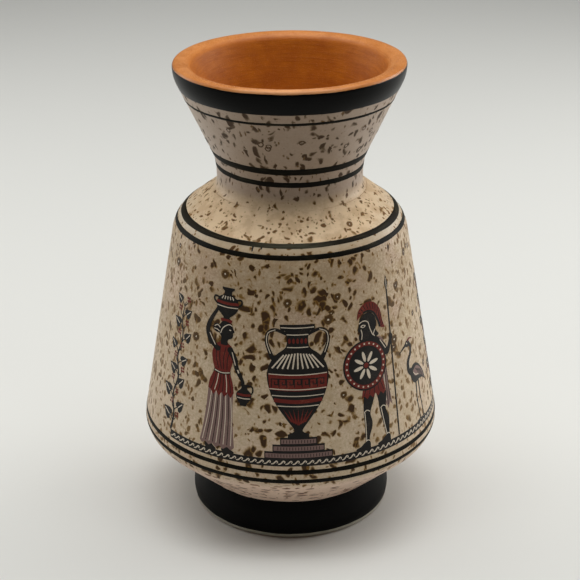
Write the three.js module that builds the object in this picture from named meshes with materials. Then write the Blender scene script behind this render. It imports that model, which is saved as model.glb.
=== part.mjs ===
// A terracotta vase: a turned foot, a thrown body and a flared neck, luted together,
// coated outside with a speckled glaze and banded with painted lines.
// Sizes are in millimetres. +Z is up, and the origin is the centre of the resting face.
import * as THREE from "three";

// The height of the whole vase
const vaseHeight = 164.95;

// How far each corner of the finished outline is above the one below it.
// The wall between belly and shoulder takes what the others leave of the height.
const footSideRise = 5;
const creaseRise = 9.4;
const bowlRise = 17.2;
const shoulderRise = 11.6;
const neckRise = 9.4;
const flareRise = 29.8;
const rimRise = 3.3;

// Radii of the finished outline at its corners
const toeRadius = 35.1;
const footSideRadius = 35.9;
const creaseRadius = 34.1;
const bellyRadius = 53.2;
const shoulderRadius = 39.9;
const neckRootRadius = 24.9;
const waistRadius = 25.2;
const rimBendRadius = 39.2;
const mouthRadius = 39;

// How far each corner is rounded
const footSideFillet = 12;
const bellyFillet = 8.5;
const shoulderFillet = 12.7;
const neckRootFillet = 3.9;
const waistFillet = 16.9;
const rimBendFillet = 11.9;

// Clay
const wallThickness = 5.6;
const floorThickness = 5;
const floorFillet = 7;
const footRingWidth = 8;
const footRecessTaper = 1.5;
const footEdgeBreak = 0.6;

// The bare lip: its straight edge, and a crown that lies in from the edge and above it
const lipEdge = 0.35;
const lipEdgeFillet = 0.3;
const lipCrownInset = 3;
const lipCrownRise = 0.3;
const lipCrownFillet = 2.2;
const lipInnerDrop = 1.3;
const lipInnerFillet = 1.8;

// The coat and the painted bands, and the clearance between one layer and the next
const coatThickness = 0.3;
const coatFootClearance = 0.6;
const paintThickness = 0.2;
const layerClearance = 0.02;

// The painted bands: how tall each one is, and how far it is from what it follows
const rimBandWidth = 7.3;
const fineLineWidth = 0.75;
const fineLineDrop = 3.1;
const broadLineWidth = 2.4;
const broadLineAboveWaist = 1.9;
const lowerLineWidth = 1.85;
const lowerLineBelowWaist = 0.9;
const innerShoulderLineWidth = 1;
const innerShoulderLineAbove = 1.85;
const outerShoulderLineWidth = 1.5;
const outerShoulderLineBelow = 1.5;
const upperBellyLineWidth = 1.5;
const upperBellyLineAbove = 4.65;
const lowerBellyLineWidth = 1.6;
const lowerBellyLineAbove = 1.1;
const footBandClearance = 1.85;

// Facets: around the vase, and about how far one step turns round a small fillet or a larger one
const facetsAround = 44;
const smallFillet = 1;
const smallFilletStep = THREE.MathUtils.degToRad(45);
const filletStep = THREE.MathUtils.degToRad(15);

// A fillet is never smaller than this. It takes no more than this share of an edge that ends in
// another fillet, and of an edge that ends sharp.
const leastFillet = 0.3;
const sharedEdgeShare = 0.48;
const ownEdgeShare = 0.95;

const footSideHeight = footSideRise;
const creaseHeight = footSideHeight + creaseRise;
const bellyHeight = creaseHeight + bowlRise;
const coatTopHeight = vaseHeight - lipCrownRise - lipEdge;
const rimBendHeight = coatTopHeight - rimRise;
const waistHeight = rimBendHeight - flareRise;
const neckRootHeight = waistHeight - neckRise;
const shoulderHeight = neckRootHeight - shoulderRise;

// A named corner of an outline. A fillet of 0 leaves it sharp.
function corner(name, radius, height, fillet = 0) {
  const step = fillet < smallFillet ? smallFilletStep : filletStep;
  return { name, at: new THREE.Vector2(radius, height), fillet, step };
}

const direction = (from, to) => to.clone().sub(from).normalize();
const pointOn = (from, to, height) => from.clone().lerp(to, (height - from.y) / (to.y - from.y));

// The directions in which an outline arrives at a corner and leaves it, and the angle it turns there.
function bendAt(corners, i) {
  const arriving = direction(corners[i - 1].at, corners[i].at);
  const leaving = direction(corners[i].at, corners[i + 1].at);
  const turn = Math.atan2(arriving.cross(leaving), arriving.dot(leaving));
  return { arriving, leaving, turn };
}

// The corners with each fillet limited to the edges beside it.
function limited(corners) {
  return corners.map((here, i) => {
    if (!here.fillet) return here;
    const rooms = [corners[i - 1], corners[i + 1]].map((neighbour) => {
      const share = neighbour.fillet ? sharedEdgeShare : ownEdgeShare;
      return here.at.distanceTo(neighbour.at) * share;
    });
    const halfTurn = Math.abs(bendAt(corners, i).turn) / 2;
    return { ...here, fillet: Math.min(here.fillet, Math.min(...rooms) / Math.tan(halfTurn)) };
  });
}

// The finished outside, from the table up. The clay lies to the left of it.
const outside = limited([
  corner("toe", toeRadius, 0),
  corner("footSide", footSideRadius, footSideHeight, footSideFillet),
  corner("crease", creaseRadius, creaseHeight),
  corner("belly", bellyRadius, bellyHeight, bellyFillet),
  corner("shoulder", shoulderRadius, shoulderHeight, shoulderFillet),
  corner("neckRoot", neckRootRadius, neckRootHeight, neckRootFillet),
  corner("waist", waistRadius, waistHeight, waistFillet),
  corner("rimBend", rimBendRadius, rimBendHeight, rimBendFillet),
  corner("mouth", mouthRadius, coatTopHeight),
]);

// Where the line through a along u meets the line through b along v.
function meeting(a, u, b, v) {
  const along = b.clone().sub(a).cross(v) / u.cross(v);
  return a.clone().addScaledVector(u, along);
}

// The corners of the surface that lies the given depth under the finished outside.
// Every edge moves by the depth, and the first and last corner keep their height.
function sunk(corners, depth) {
  const level = new THREE.Vector2(1, 0);
  const edges = corners.slice(1).map((next, i) => {
    const along = direction(corners[i].at, next.at);
    const inward = new THREE.Vector2(-along.y, along.x);
    return { from: corners[i].at.clone().addScaledVector(inward, depth), along };
  });
  return corners.map((here, i) => {
    const { at, fillet } = here;
    const below = edges[i - 1] ?? { from: at, along: level };
    const above = edges[i] ?? { from: at, along: level };
    const bulges = below.along.cross(above.along) > 0;
    const moved = bulges ? fillet - depth : fillet + depth;
    return {
      ...here,
      at: meeting(below.from, below.along, above.from, above.along),
      fillet: fillet && Math.max(moved, leastFillet),
    };
  });
}

// The points of an outline with its corners rounded, and by name the station halfway round each
// corner. A station is a place along the points: a whole number at a point, a fraction between two.
function rounded(corners) {
  const points = [];
  const middles = {};
  corners.forEach(({ name, at, fillet, step }, i) => {
    if (!fillet) {
      middles[name] = points.length;
      points.push(at);
      return;
    }
    const { arriving, turn } = bendAt(corners, i);
    const start = at.clone().addScaledVector(arriving, -fillet * Math.tan(Math.abs(turn) / 2));
    const toCentre = new THREE.Vector2(-arriving.y, arriving.x).multiplyScalar(Math.sign(turn));
    const centre = start.clone().addScaledVector(toCentre, fillet);
    const steps = Math.max(1, Math.round(Math.abs(turn) / step));
    middles[name] = points.length + steps / 2;
    for (let k = 0; k <= steps; k++) {
      points.push(start.clone().rotateAround(centre, (turn * k) / steps));
    }
  });
  return { points, middles };
}

// The station where an outline first passes a height.
function stationAt(points, height) {
  const i = points.findIndex((point, k) => {
    const next = points[k + 1];
    return next && Math.min(point.y, next.y) <= height && height <= Math.max(point.y, next.y);
  });
  return i + (height - points[i].y) / (points[i + 1].y - points[i].y);
}

function pointAt(points, station) {
  const i = Math.min(Math.floor(station), points.length - 2);
  return points[i].clone().lerp(points[i + 1], station - i);
}

function stretch(points, from, to) {
  const nearly = 1e-6;
  const between = points.filter((_, i) => i > from + nearly && i < to - nearly);
  return [pointAt(points, from), ...between, pointAt(points, to)];
}

const finished = rounded(outside).points;

// The profile of a layer that follows the outside between two stations of the finished outline.
// The depths are those of its inner and outer face, and a negative one stands proud.
function layer(innerDepth, outerDepth, low, high) {
  const inner = rounded(sunk(outside, innerDepth)).points;
  const outer = rounded(sunk(outside, outerDepth)).points;
  return closed([...stretch(outer, low, high), ...stretch(inner, low, high).reverse()]);
}

function closed(points) {
  return [...points, points[0].clone()];
}

// The outside of the clay, under the coat
const clayDepth = coatThickness + layerClearance;
const clay = rounded(sunk(outside, clayDepth));
const seatHeight = pointAt(clay.points, clay.middles.crease).y;
const seamHeight = pointAt(clay.points, clay.middles.neckRoot).y;

// The bare clay from the coat's top edge over the lip and down the inside to the floor's centre.
// Under the lip it is parallel to the outside as far down as the belly.
const wall = Object.fromEntries(
  sunk(outside, clayDepth + wallThickness).map((here) => [here.name, here]),
);
const floorHeight = seatHeight + floorThickness;
const lipHeight = coatTopHeight + lipEdge;
const lipInside = pointOn(wall.rimBend.at, wall.mouth.at, lipHeight - lipInnerDrop);
const floorEdge = pointOn(wall.crease.at, wall.belly.at, floorHeight);
const inside = rounded(limited([
  corner("coatTop", mouthRadius, coatTopHeight),
  corner("lipEdge", mouthRadius, lipHeight, lipEdgeFillet),
  corner("lipCrown", mouthRadius - lipCrownInset, lipHeight + lipCrownRise, lipCrownFillet),
  corner("lipInside", lipInside.x, lipInside.y, lipInnerFillet),
  wall.rimBend,
  wall.waist,
  wall.neckRoot,
  wall.shoulder,
  wall.belly,
  corner("floorEdge", floorEdge.x, floorEdge.y, floorFillet),
  corner("floorCentre", 0, floorHeight),
])).points;

function footProfile() {
  const toe = clay.points[0];
  const recessRadius = toe.x - footRingWidth;
  return closed([
    new THREE.Vector2(toe.x - footEdgeBreak, 0),
    ...stretch(clay.points, stationAt(clay.points, footEdgeBreak), clay.middles.crease),
    new THREE.Vector2(recessRadius - footRecessTaper, seatHeight),
    new THREE.Vector2(recessRadius, 0),
  ]);
}

function bodyProfile() {
  return [
    new THREE.Vector2(0, seatHeight),
    ...stretch(clay.points, clay.middles.crease, clay.middles.neckRoot),
    ...stretch(inside, stationAt(inside, seamHeight), inside.length - 1),
  ];
}

function neckProfile() {
  return closed([
    ...stretch(clay.points, clay.middles.neckRoot, clay.points.length - 1),
    ...stretch(inside, 0, stationAt(inside, seamHeight)),
  ]);
}

function coatProfile() {
  return layer(coatThickness, 0, stationAt(finished, coatFootClearance), finished.length - 1);
}

// A painted band that starts at a height and is as tall as its width.
function bandProfile(bottom, width) {
  const low = stationAt(finished, bottom);
  const high = stationAt(finished, bottom + width);
  return layer(-layerClearance, -layerClearance - paintThickness, low, high);
}

// The colour and roughness of each surface
const surfaces = {
  terracotta: { color: 0xb8753f, roughness: 0.75 },
  glaze: { color: 0xb5a389, roughness: 0.5 },
  paint: { color: 0x11110f, roughness: 0.45 },
};

const vase = new THREE.Group();
vase.name = "terracotta_vase";

function turned(name, profile, surface) {
  const geometry = new THREE.LatheGeometry(profile, facetsAround);
  geometry.rotateX(Math.PI / 2);
  const material = new THREE.MeshStandardMaterial({ ...surfaces[surface], metalness: 0 });
  const mesh = new THREE.Mesh(geometry, material);
  mesh.name = name;
  vase.add(mesh);
}

turned("foot_ring", footProfile(), "terracotta");
turned("body_shell", bodyProfile(), "terracotta");
turned("neck_collar", neckProfile(), "terracotta");
turned("speckled_glaze", coatProfile(), "glaze");

const rimBandBottom = coatTopHeight - rimBandWidth;
const bands = {
  rim_band: [rimBandBottom, rimBandWidth],
  neck_fine_line: [rimBandBottom - fineLineDrop - fineLineWidth, fineLineWidth],
  neck_broad_line: [waistHeight + broadLineAboveWaist, broadLineWidth],
  neck_lower_line: [waistHeight - lowerLineBelowWaist - lowerLineWidth, lowerLineWidth],
  shoulder_inner_line: [shoulderHeight + innerShoulderLineAbove, innerShoulderLineWidth],
  shoulder_outer_line: [shoulderHeight - outerShoulderLineBelow, outerShoulderLineWidth],
  belly_upper_line: [bellyHeight + upperBellyLineAbove, upperBellyLineWidth],
  belly_lower_line: [bellyHeight + lowerBellyLineAbove, lowerBellyLineWidth],
  foot_band: [footBandClearance, creaseHeight - footBandClearance],
};
for (const [name, [bottom, width]] of Object.entries(bands)) {
  turned(name, bandProfile(bottom, width), "paint");
}

export default vase;
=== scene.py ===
"""Looks for the terracotta vase: turned clay, speckled glaze, painted lines and a painted frieze."""

import math
import random

import bmesh
import bpy
from mathutils import Euler, Matrix, Vector
from mathutils.geometry import tessellate_polygon


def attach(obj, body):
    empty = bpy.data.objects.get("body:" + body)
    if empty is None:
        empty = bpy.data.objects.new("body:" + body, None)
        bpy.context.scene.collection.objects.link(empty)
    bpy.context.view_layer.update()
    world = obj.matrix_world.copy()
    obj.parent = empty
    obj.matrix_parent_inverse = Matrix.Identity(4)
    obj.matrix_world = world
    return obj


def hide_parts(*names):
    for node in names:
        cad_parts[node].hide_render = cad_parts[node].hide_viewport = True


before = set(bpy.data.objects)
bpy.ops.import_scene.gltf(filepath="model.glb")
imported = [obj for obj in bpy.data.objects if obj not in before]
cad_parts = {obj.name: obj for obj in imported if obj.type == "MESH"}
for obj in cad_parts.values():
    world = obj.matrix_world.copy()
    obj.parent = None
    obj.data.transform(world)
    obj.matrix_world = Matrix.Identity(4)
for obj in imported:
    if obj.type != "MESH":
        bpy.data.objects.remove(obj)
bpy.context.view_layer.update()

MM = 0.001

# The vase's finished outline, from the table up: name, radius, height and rounding, in millimetres
OUTLINE = [
    ("toe", 35.1, 0, 0),
    ("foot side", 35.9, 5, 12),
    ("crease", 34.1, 14.4, 0),
    ("belly", 53.2, 31.6, 8.5),
    ("shoulder", 39.9, 110.2, 12.7),
    ("neck root", 24.9, 121.8, 3.9),
    ("waist", 25.2, 131.2, 16.9),
    ("rim bend", 39.2, 161.0, 11.9),
    ("mouth", 39.0, 164.3, 0),
]
COAT_THICKNESS = 0.3
COAT_FOOT_CLEARANCE = 0.6
WALL_THICKNESS = 5.6
FLOOR_THICKNESS = 5
FOOT_RING_WIDTH = 8
FOOT_RECESS_TAPER = 1.5
FOOT_EDGE_BREAK = 0.6
COAT_STOPS_SHORT = 0.5
LIP_EDGE = 0.35
LIP_CROWN_INSET = 2.6
LIP_CROWN_RISE = 0.3
LIP_INNER_DROP = 0.9
LIP_INNER_ROUNDING = 3.4
FLOOR_ROUNDING = 7

# The fingers' ridges inside the body and the neck, and how far under the coat's top they end
BODY_RIDGES = 0.2
NECK_RIDGES = 0.16
RIDGES_END_BELOW = 4

# The joint's crease in the glaze under the neck: height, depth, and its section from side to side
JOINT_CREASE_HEIGHT = 120.6
JOINT_CREASE_DEPTH = 0.22
JOINT_CREASE_SECTION = [(-0.3, 0), (-0.15, 0.15), (-0.07, 0.7), (0, 1), (0.07, 0.7), (0.15, 0.15), (0.3, 0)]

# Painted lines: thickness, how far they reach into the coat, the width of their soft edges, and
# how far into such an edge and how thick, as shares, the paint is where the edge bends
PAINT_THICKNESS = 0.09
PAINT_SUNK = COAT_THICKNESS * 0.3
PAINT_SOFT_EDGE = 0.22
EDGE_BEND_PLACE = 0.4
EDGE_BEND_THICKNESS = 0.65

# How finely the turned pieces are cut: steps round the vase, degrees in a rounding, longest edge
STEPS_AROUND = 320
ROUNDING_STEP = 6
LONGEST_EDGE = 2.5

# The share of an edge that a rounding may take up, where the edge's other end is rounded too and
# where it isn't, and the smallest rounding of a parallel outline
SHARED_EDGE = 0.48
OWN_EDGE = 0.95
SMALLEST_ROUNDING = 0.3

# Edges up to this many degrees are shaded smooth
SMOOTH_UP_TO = 38


# Nodes


class Value:
    """An output inside a tree of nodes. A sum with numbers adds the node that works it out."""

    def __init__(self, nodes, socket):
        self.nodes = nodes
        self.socket = socket

    def __add__(self, other):
        return self.nodes.math("ADD", self, other)

    def __sub__(self, other):
        return self.nodes.math("SUBTRACT", self, other)

    def __rsub__(self, other):
        return self.nodes.math("SUBTRACT", other, self)

    def __mul__(self, other):
        return self.nodes.math("MULTIPLY", self, other)

    def __truediv__(self, other):
        return self.nodes.math("DIVIDE", self, other)


class Nodes:
    """Adds nodes to a tree and wires them, so that a tree reads from its inputs to its output."""

    def __init__(self, tree):
        self.tree = tree

    def add(self, kind, *sockets, out=0, named=None, **settings):
        """Adds a node, sets it, feeds its inputs in order or by name, and returns one output."""
        node = self.tree.nodes.new(kind)
        for key, value in settings.items():
            setattr(node, key, value)
        usable = [socket for socket in node.inputs if socket.enabled]
        for socket, value in zip(usable, sockets):
            self.feed(socket, value)
        for name, value in (named or {}).items():
            self.feed(next(s for s in usable if s.name == name), value)
        if isinstance(out, str):
            return Value(self, node.outputs[out])
        return Value(self, [socket for socket in node.outputs if socket.enabled][out])

    def feed(self, socket, value):
        if isinstance(value, Value):
            self.tree.links.new(value.socket, socket)
        elif value is not None:
            socket.default_value = value

    def math(self, operation, *values, clamp=False):
        return self.add("ShaderNodeMath", *values, operation=operation, use_clamp=clamp)

    def greater(self, one, other):
        return self.math("MAXIMUM", one, other)

    def ramp(self, value, low, high, to_low=0.0, to_high=1.0):
        """The value carried smoothly from one range to another."""
        limits = (value, low, high, to_low, to_high)
        return self.add("ShaderNodeMapRange", *limits, interpolation_type="SMOOTHSTEP")

    def scaled(self, vector, factor):
        return self.add("ShaderNodeVectorMath", vector, operation="SCALE", named={"Scale": factor})

    def moved(self, place, by):
        return self.add("ShaderNodeVectorMath", place, by, operation="ADD")


class ShaderNodes(Nodes):
    """Shader nodes for one material. Sizes are in millimetres."""

    def place(self, stretch=(1, 1, 1), shift=(0, 0, 0)):
        """Object coordinates in millimetres, stretched and shifted."""
        coordinates = self.add("ShaderNodeTexCoord", out="Object")
        scale = tuple(s / MM for s in stretch)
        named = {"Vector": coordinates, "Location": shift, "Scale": scale}
        return self.add("ShaderNodeMapping", named=named)

    def along(self, axis):
        """How far a place lies along an axis, in millimetres."""
        return self.add("ShaderNodeSeparateXYZ", self.place(), out=axis)

    def noise(self, place, size, detail=3.0, roughness=0.55, out=0):
        """Smooth noise whose lumps are about as large as size."""
        named = {"Vector": place, "Scale": 1 / size, "Detail": detail, "Roughness": roughness}
        return self.add("ShaderNodeTexNoise", named=named, out=out)

    def bent(self, place, size, reach, detail=2.0):
        """The place pushed about by noise, so that what is drawn there loses its plain outline."""
        push = self.noise(place, size, detail, out="Color")
        push = self.add("ShaderNodeVectorMath", push, (0.5, 0.5, 0.5), operation="SUBTRACT")
        return self.moved(place, self.scaled(push, reach))

    def cells(self, place, spacing, out="Distance"):
        """Scattered centres: the distance to the nearest one in spacings, or its random colour."""
        named = {"Vector": place, "Scale": 1 / spacing, "Randomness": 1.0}
        return self.add("ShaderNodeTexVoronoi", named=named, out=out)

    def flecks(self, place, spacing, smallest, largest, share, softness):
        """Spots of random size on scattered centres, 0 at their edge and outside, 1 well inside.

        The radii are in spacings, and share is the part of the centres that have a spot. Where the
        share falls, the spots shrink to nothing.
        """
        just_won = 0.08
        distance = self.cells(place, spacing)
        lottery = self.add("ShaderNodeSeparateColor", self.cells(place, spacing, "Color"))
        won = lottery + share - 1.0
        radius = self.ramp(won, 0.0, just_won, 0.0, smallest)
        radius = radius + self.ramp(won, just_won, 1.0, 0.0, largest - smallest)
        return self.math("DIVIDE", radius - distance, softness * largest, clamp=True)

    def blend(self, factor, one, other):
        return self.add("ShaderNodeMix", factor, one, other, data_type="RGBA")

    def stained(self, colour, spots, strength, halo, core):
        """A colour with spots that are pale at the edge and dark in the middle."""
        faint = self.ramp(spots, 0.0, 0.55) * strength
        strong = self.ramp(spots, 0.12, 0.68) * strength
        return self.blend(strong, self.blend(faint, colour, halo), core)

    def bump(self, height, strength, distance):
        named = {"Strength": strength, "Distance": distance * MM, "Height": height}
        return self.add("ShaderNodeBump", named=named)

    def finish(self, colour, roughness, normal, specular):
        """The surface shader."""
        shader = self.tree.nodes.new("ShaderNodeBsdfPrincipled")
        self.feed(shader.inputs["Base Color"], colour)
        self.feed(shader.inputs["Roughness"], roughness)
        self.feed(shader.inputs["Normal"], normal)
        self.feed(shader.inputs["Specular IOR Level"], specular)
        output = self.tree.nodes.new("ShaderNodeOutputMaterial")
        self.tree.links.new(shader.outputs[0], output.inputs[0])


class ShapeNodes(Nodes):
    """Geometry nodes of one tree. Its inputs are in given, by their names."""

    def __init__(self, name, inputs):
        super().__init__(bpy.data.node_groups.new(name, "GeometryNodeTree"))
        sockets = self.tree.interface
        sockets.new_socket("Piece", in_out="OUTPUT", socket_type="NodeSocketGeometry")
        for label, kind in [*inputs, ("Material", "Material")]:
            sockets.new_socket(label, in_out="INPUT", socket_type="NodeSocket" + kind)
        outputs = self.tree.nodes.new("NodeGroupInput").outputs
        self.given = {socket.name: Value(self, socket) for socket in outputs if socket.name}

    def stored(self, mark, kind):
        return self.add("GeometryNodeInputNamedAttribute", mark, data_type=kind)

    def finish(self, piece):
        """The piece as one mesh in the given material."""
        piece = self.add("GeometryNodeRealizeInstances", piece)
        named = {"Geometry": piece, "Material": self.given["Material"]}
        piece = self.add("GeometryNodeSetMaterial", named=named)
        self.feed(self.tree.nodes.new("NodeGroupOutput").inputs[0], piece)
        return self.tree


def srgb(red, green, blue):
    """A colour written as on a screen, 0 to 255, as the linear colour that shaders take."""

    def linear(level):
        share = level / 255
        return share / 12.92 if share <= 0.04045 else ((share + 0.055) / 1.055) ** 2.4

    return (linear(red), linear(green), linear(blue), 1.0)


def new_material(name):
    material = bpy.data.materials.new(name)
    material.use_nodes = True
    material.node_tree.nodes.clear()
    return material, ShaderNodes(material.node_tree)


# Bare clay


# The heights over which the hollow's clay turns into the lip's, and the places along Y over which
# the lip gets a painted highlight towards the front, in millimetres
LIP_HEIGHTS = (162.6, 164.3)
LIP_HIGHLIGHT_SPAN = (-33, -38)


def terracotta_colour(n, on_lip, streaks, grain, pits):
    """Orange inside and paler on the lip, with a painted sheen on the hollow's sides just under the lip and
    a painted highlight on the lip's front, streaked and flecked with light grain.
    """
    mottle = n.ramp(n.noise(n.place(), 7, 4.0), 0.35, 0.65)
    towards_side = n.math("ABSOLUTE", n.along("X"))
    hollow = n.blend(mottle, srgb(168, 87, 1), srgb(182, 99, 2))
    # Painted sheen: the hollow lighter towards the sides just under the lip
    pale = n.ramp(n.along("Z"), 150, 163) * n.ramp(towards_side, 8, 34, 0.0, 0.5)
    hollow = n.blend(pale, hollow, srgb(196, 120, 52))
    lip = n.blend(mottle, srgb(197, 125, 65), srgb(208, 136, 76))
    # Painted highlight: the lip lighter towards its front
    lip = n.blend(n.ramp(n.along("Y"), *LIP_HIGHLIGHT_SPAN, 0.0, 0.6), lip, srgb(240, 178, 126))
    colour = n.blend(on_lip, hollow, lip)
    streak_colour = n.blend(on_lip, srgb(140, 67, 2), srgb(166, 92, 40))
    colour = n.blend(n.ramp(streaks, 0.44, 0.62, 0.0, 0.32), colour, streak_colour)
    colour = n.blend(n.ramp(grain, 0.55, 0.75, 0.0, 0.22), colour, srgb(222, 160, 104))
    return n.blend(pits * 0.5, colour, srgb(126, 66, 30))


def terracotta_material():
    """Bare fired clay: mottled orange, with a fine grain and the marks of throwing."""
    material, n = new_material("bare_terracotta")
    place = n.place()
    on_lip = n.ramp(n.along("Z"), *LIP_HEIGHTS)
    streaks = n.noise(n.place(stretch=(0.12, 0.12, 1.4)), 1.3, 4.0, 0.7)
    grain = n.noise(place, 0.35, 2.0, 0.7)
    pits = n.flecks(n.bent(place, 0.8, 0.5), 1.1, 0.08, 0.3, 0.25, 0.3)
    roughness = n.ramp(grain, 0.3, 0.7, 0.62, 0.42) - on_lip * 0.3
    height = grain * 0.5 - pits * 0.5 + streaks * 0.8
    colour = terracotta_colour(n, on_lip, streaks, grain, pits)
    n.finish(colour, roughness, n.bump(height, 0.6, 0.22), 0.2)
    return material


# Speckled glaze


# Where one zone of the coat gives way to the next, in millimetres: heights, and the sides' distance
FOOT_STRIP_TOP = (2.5, 3.5)
BOWL_TOP = (29, 33)
SPECKS_START = (29.5, 33)
PALE_WALL_TOP = (50, 90)
# the heights over which painted shade comes in high on the wall's front
PAINTED_SHADE_WALL_START = (72, 100)
WALL_TOP = (103, 108)
SHOULDER_START = (109, 113)
INNER_LINE = (112.2, 112.6)
NECK_START = (118, 126)
SIDES_START = (22, 40)

# The cylinder on which the specks are drawn: its radius at the wall and at the neck, the heights
# between which it changes, and how the coat's slopes are laid out along it. A place further in is
# moved up the cylinder, by a share of the radius up to the widest that counts.
SPECKS_RADIUS_AT_WALL = 40
SPECKS_RADIUS_AT_NECK = 28
SPECKS_RADIUS_CHANGES = (108, 124)
LOW_BOWL_TOP = 22
LOW_BOWL_SLOPE = 2.0
FLARE_START = 131
FLARE_SLOPE = 0.47
WIDEST_RADIUS = 42
SLOPE_SHARE = 0.8

# Kinds of specks, largest first. Stretch and shift lay them out along the side. Sway, bend and fray
# are the size and reach of ever finer noise that bends them. Radii are in spacings.
BLOTS = {
    "stretch": 0.8, "shift": 0.0, "sway": (7.0, 8.0), "bend": (2.2, 1.6), "fray": (0.9, 0.5),
    "spacing": 3.6, "radii": (0.3, 0.64),
}
BLOBS = {
    "stretch": 0.75, "shift": 50.0, "sway": (5.0, 5.5), "bend": (1.8, 1.2), "fray": (0.7, 0.4),
    "spacing": 2.4, "radii": (0.32, 0.62),
}
SPECKS = {
    "stretch": 0.55, "shift": 90.0, "sway": (4.0, 3.0), "bend": (1.4, 0.9), "fray": (0.6, 0.3),
    "spacing": 1.6, "radii": (0.3, 0.56),
}


class CoatZones:
    """Shares from 0 to 1 that say how far a place of the coat belongs to each part of the vase."""

    def __init__(self, n):
        self.nodes = n
        height = n.along("Z")
        self.towards_side = n.math("ABSOLUTE", n.along("X"))
        self.on_side = n.ramp(self.towards_side, *SIDES_START)
        self.above_foot = n.ramp(height, *FOOT_STRIP_TOP)
        self.under_bowl = n.ramp(height, *BOWL_TOP, 1.0, 0.0)
        self.above_bowl = n.ramp(height, *SPECKS_START)
        self.low_on_wall = n.ramp(height, *PALE_WALL_TOP, 1.0, 0.0)
        self.high_on_wall = n.ramp(height, *PAINTED_SHADE_WALL_START)
        self.on_wall = n.ramp(height, *WALL_TOP, 1.0, 0.0)
        self.on_neck = n.ramp(height, *NECK_START)
        self.on_shoulder = n.ramp(height, *SHOULDER_START) * (1.0 - self.on_neck)
        self.between_lines = self.on_shoulder * n.ramp(height, *INNER_LINE, 1.0, 0.0)

    def front_to_side(self, front, side):
        """One value at the vase's front and back, and another at its sides."""
        return self.nodes.ramp(self.on_side, 0.0, 1.0, front, side)


def up_the_side(n, stretch, shift):
    """The place as on a plain cylinder, so that what is drawn there runs straight up the vase."""
    x, y, z = (n.along(axis) for axis in "XYZ")
    flat = n.add("ShaderNodeCombineXYZ", x, y, 0.0)
    radius = n.add("ShaderNodeVectorMath", flat, operation="LENGTH", out="Value")
    in_bowl = n.greater(LOW_BOWL_TOP - z, 0.0)
    in_flare = n.greater(z - FLARE_START, 0.0)
    outwards = radius + in_bowl * LOW_BOWL_SLOPE - in_flare * FLARE_SLOPE
    outwards = n.math("MINIMUM", outwards, WIDEST_RADIUS)
    up = (z - outwards * SLOPE_SHARE) * stretch + shift
    around = n.add("ShaderNodeVectorMath", flat, operation="NORMALIZE")
    reach = n.ramp(z, *SPECKS_RADIUS_CHANGES, SPECKS_RADIUS_AT_WALL, SPECKS_RADIUS_AT_NECK)
    return n.moved(n.scaled(around, reach), n.add("ShaderNodeCombineXYZ", 0.0, 0.0, up))


def run_specks(n, share, stretch, shift, sway, bend, fray, spacing, radii):
    """Specks of one kind, drawn out along the slope as the glaze ran."""
    place = n.bent(up_the_side(n, stretch, shift), *sway, 1.0)
    place = n.bent(n.bent(place, *bend), *fray)
    return n.flecks(place, spacing, *radii, share, 0.55)


def all_specks(n, zone):
    """The three kinds, each with its own share of the wall, shoulder, neck, bowl and sides."""
    patchy = n.ramp(n.noise(n.place(shift=(5, 40, 9)), 9, 2.0), 0.36, 0.56, 0.7, 1.0)

    share = zone.on_wall * patchy * zone.front_to_side(0.95, 0.45)
    share = share * n.ramp(zone.low_on_wall, 0.0, 1.0, 1.0, 0.75)
    share = n.greater(share * zone.above_bowl, zone.on_neck * 0.48)
    share = n.greater(share, (zone.on_shoulder - zone.between_lines) * 0.42)
    blots = run_specks(n, share, **BLOTS)

    share = zone.front_to_side(0.95, 0.7) - zone.on_shoulder * 0.28
    share = share * patchy * ((1.0 - zone.on_neck * 0.15) * zone.above_bowl)
    blobs = run_specks(n, share - zone.between_lines * 0.25, **BLOBS)

    share = n.greater(zone.front_to_side(0.35, 0.9), zone.on_shoulder * 0.5)
    specks = run_specks(n, share * zone.above_foot - zone.between_lines * 0.4, **SPECKS)
    return blots, blobs, specks


def mottled_cream(n, fine, stains):
    """Cream with pinkish and yellowish clouds, fine mottling and soft brown stains."""
    clouds = n.noise(n.place(), 14, 3.0)
    hue = n.noise(n.place(shift=(60, 10, 0)), 16, 2.0)
    ground = n.blend(n.ramp(clouds, 0.35, 0.65), srgb(184, 162, 133), srgb(202, 180, 151))
    ground = n.blend(n.ramp(hue, 0.5, 0.7, 0.0, 0.5), ground, srgb(194, 160, 143))
    ground = n.blend(n.ramp(hue, 0.48, 0.32, 0.0, 0.3), ground, srgb(196, 175, 130))
    ground = n.blend(n.ramp(fine, 0.46, 0.64, 0.0, 0.6), ground, srgb(148, 122, 86))
    ground = n.blend(n.ramp(fine, 0.5, 0.36, 0.0, 0.6), ground, srgb(220, 200, 173))
    return n.blend(n.ramp(stains, 0.45, 0.66, 0.0, 0.5), ground, srgb(166, 138, 96))


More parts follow.
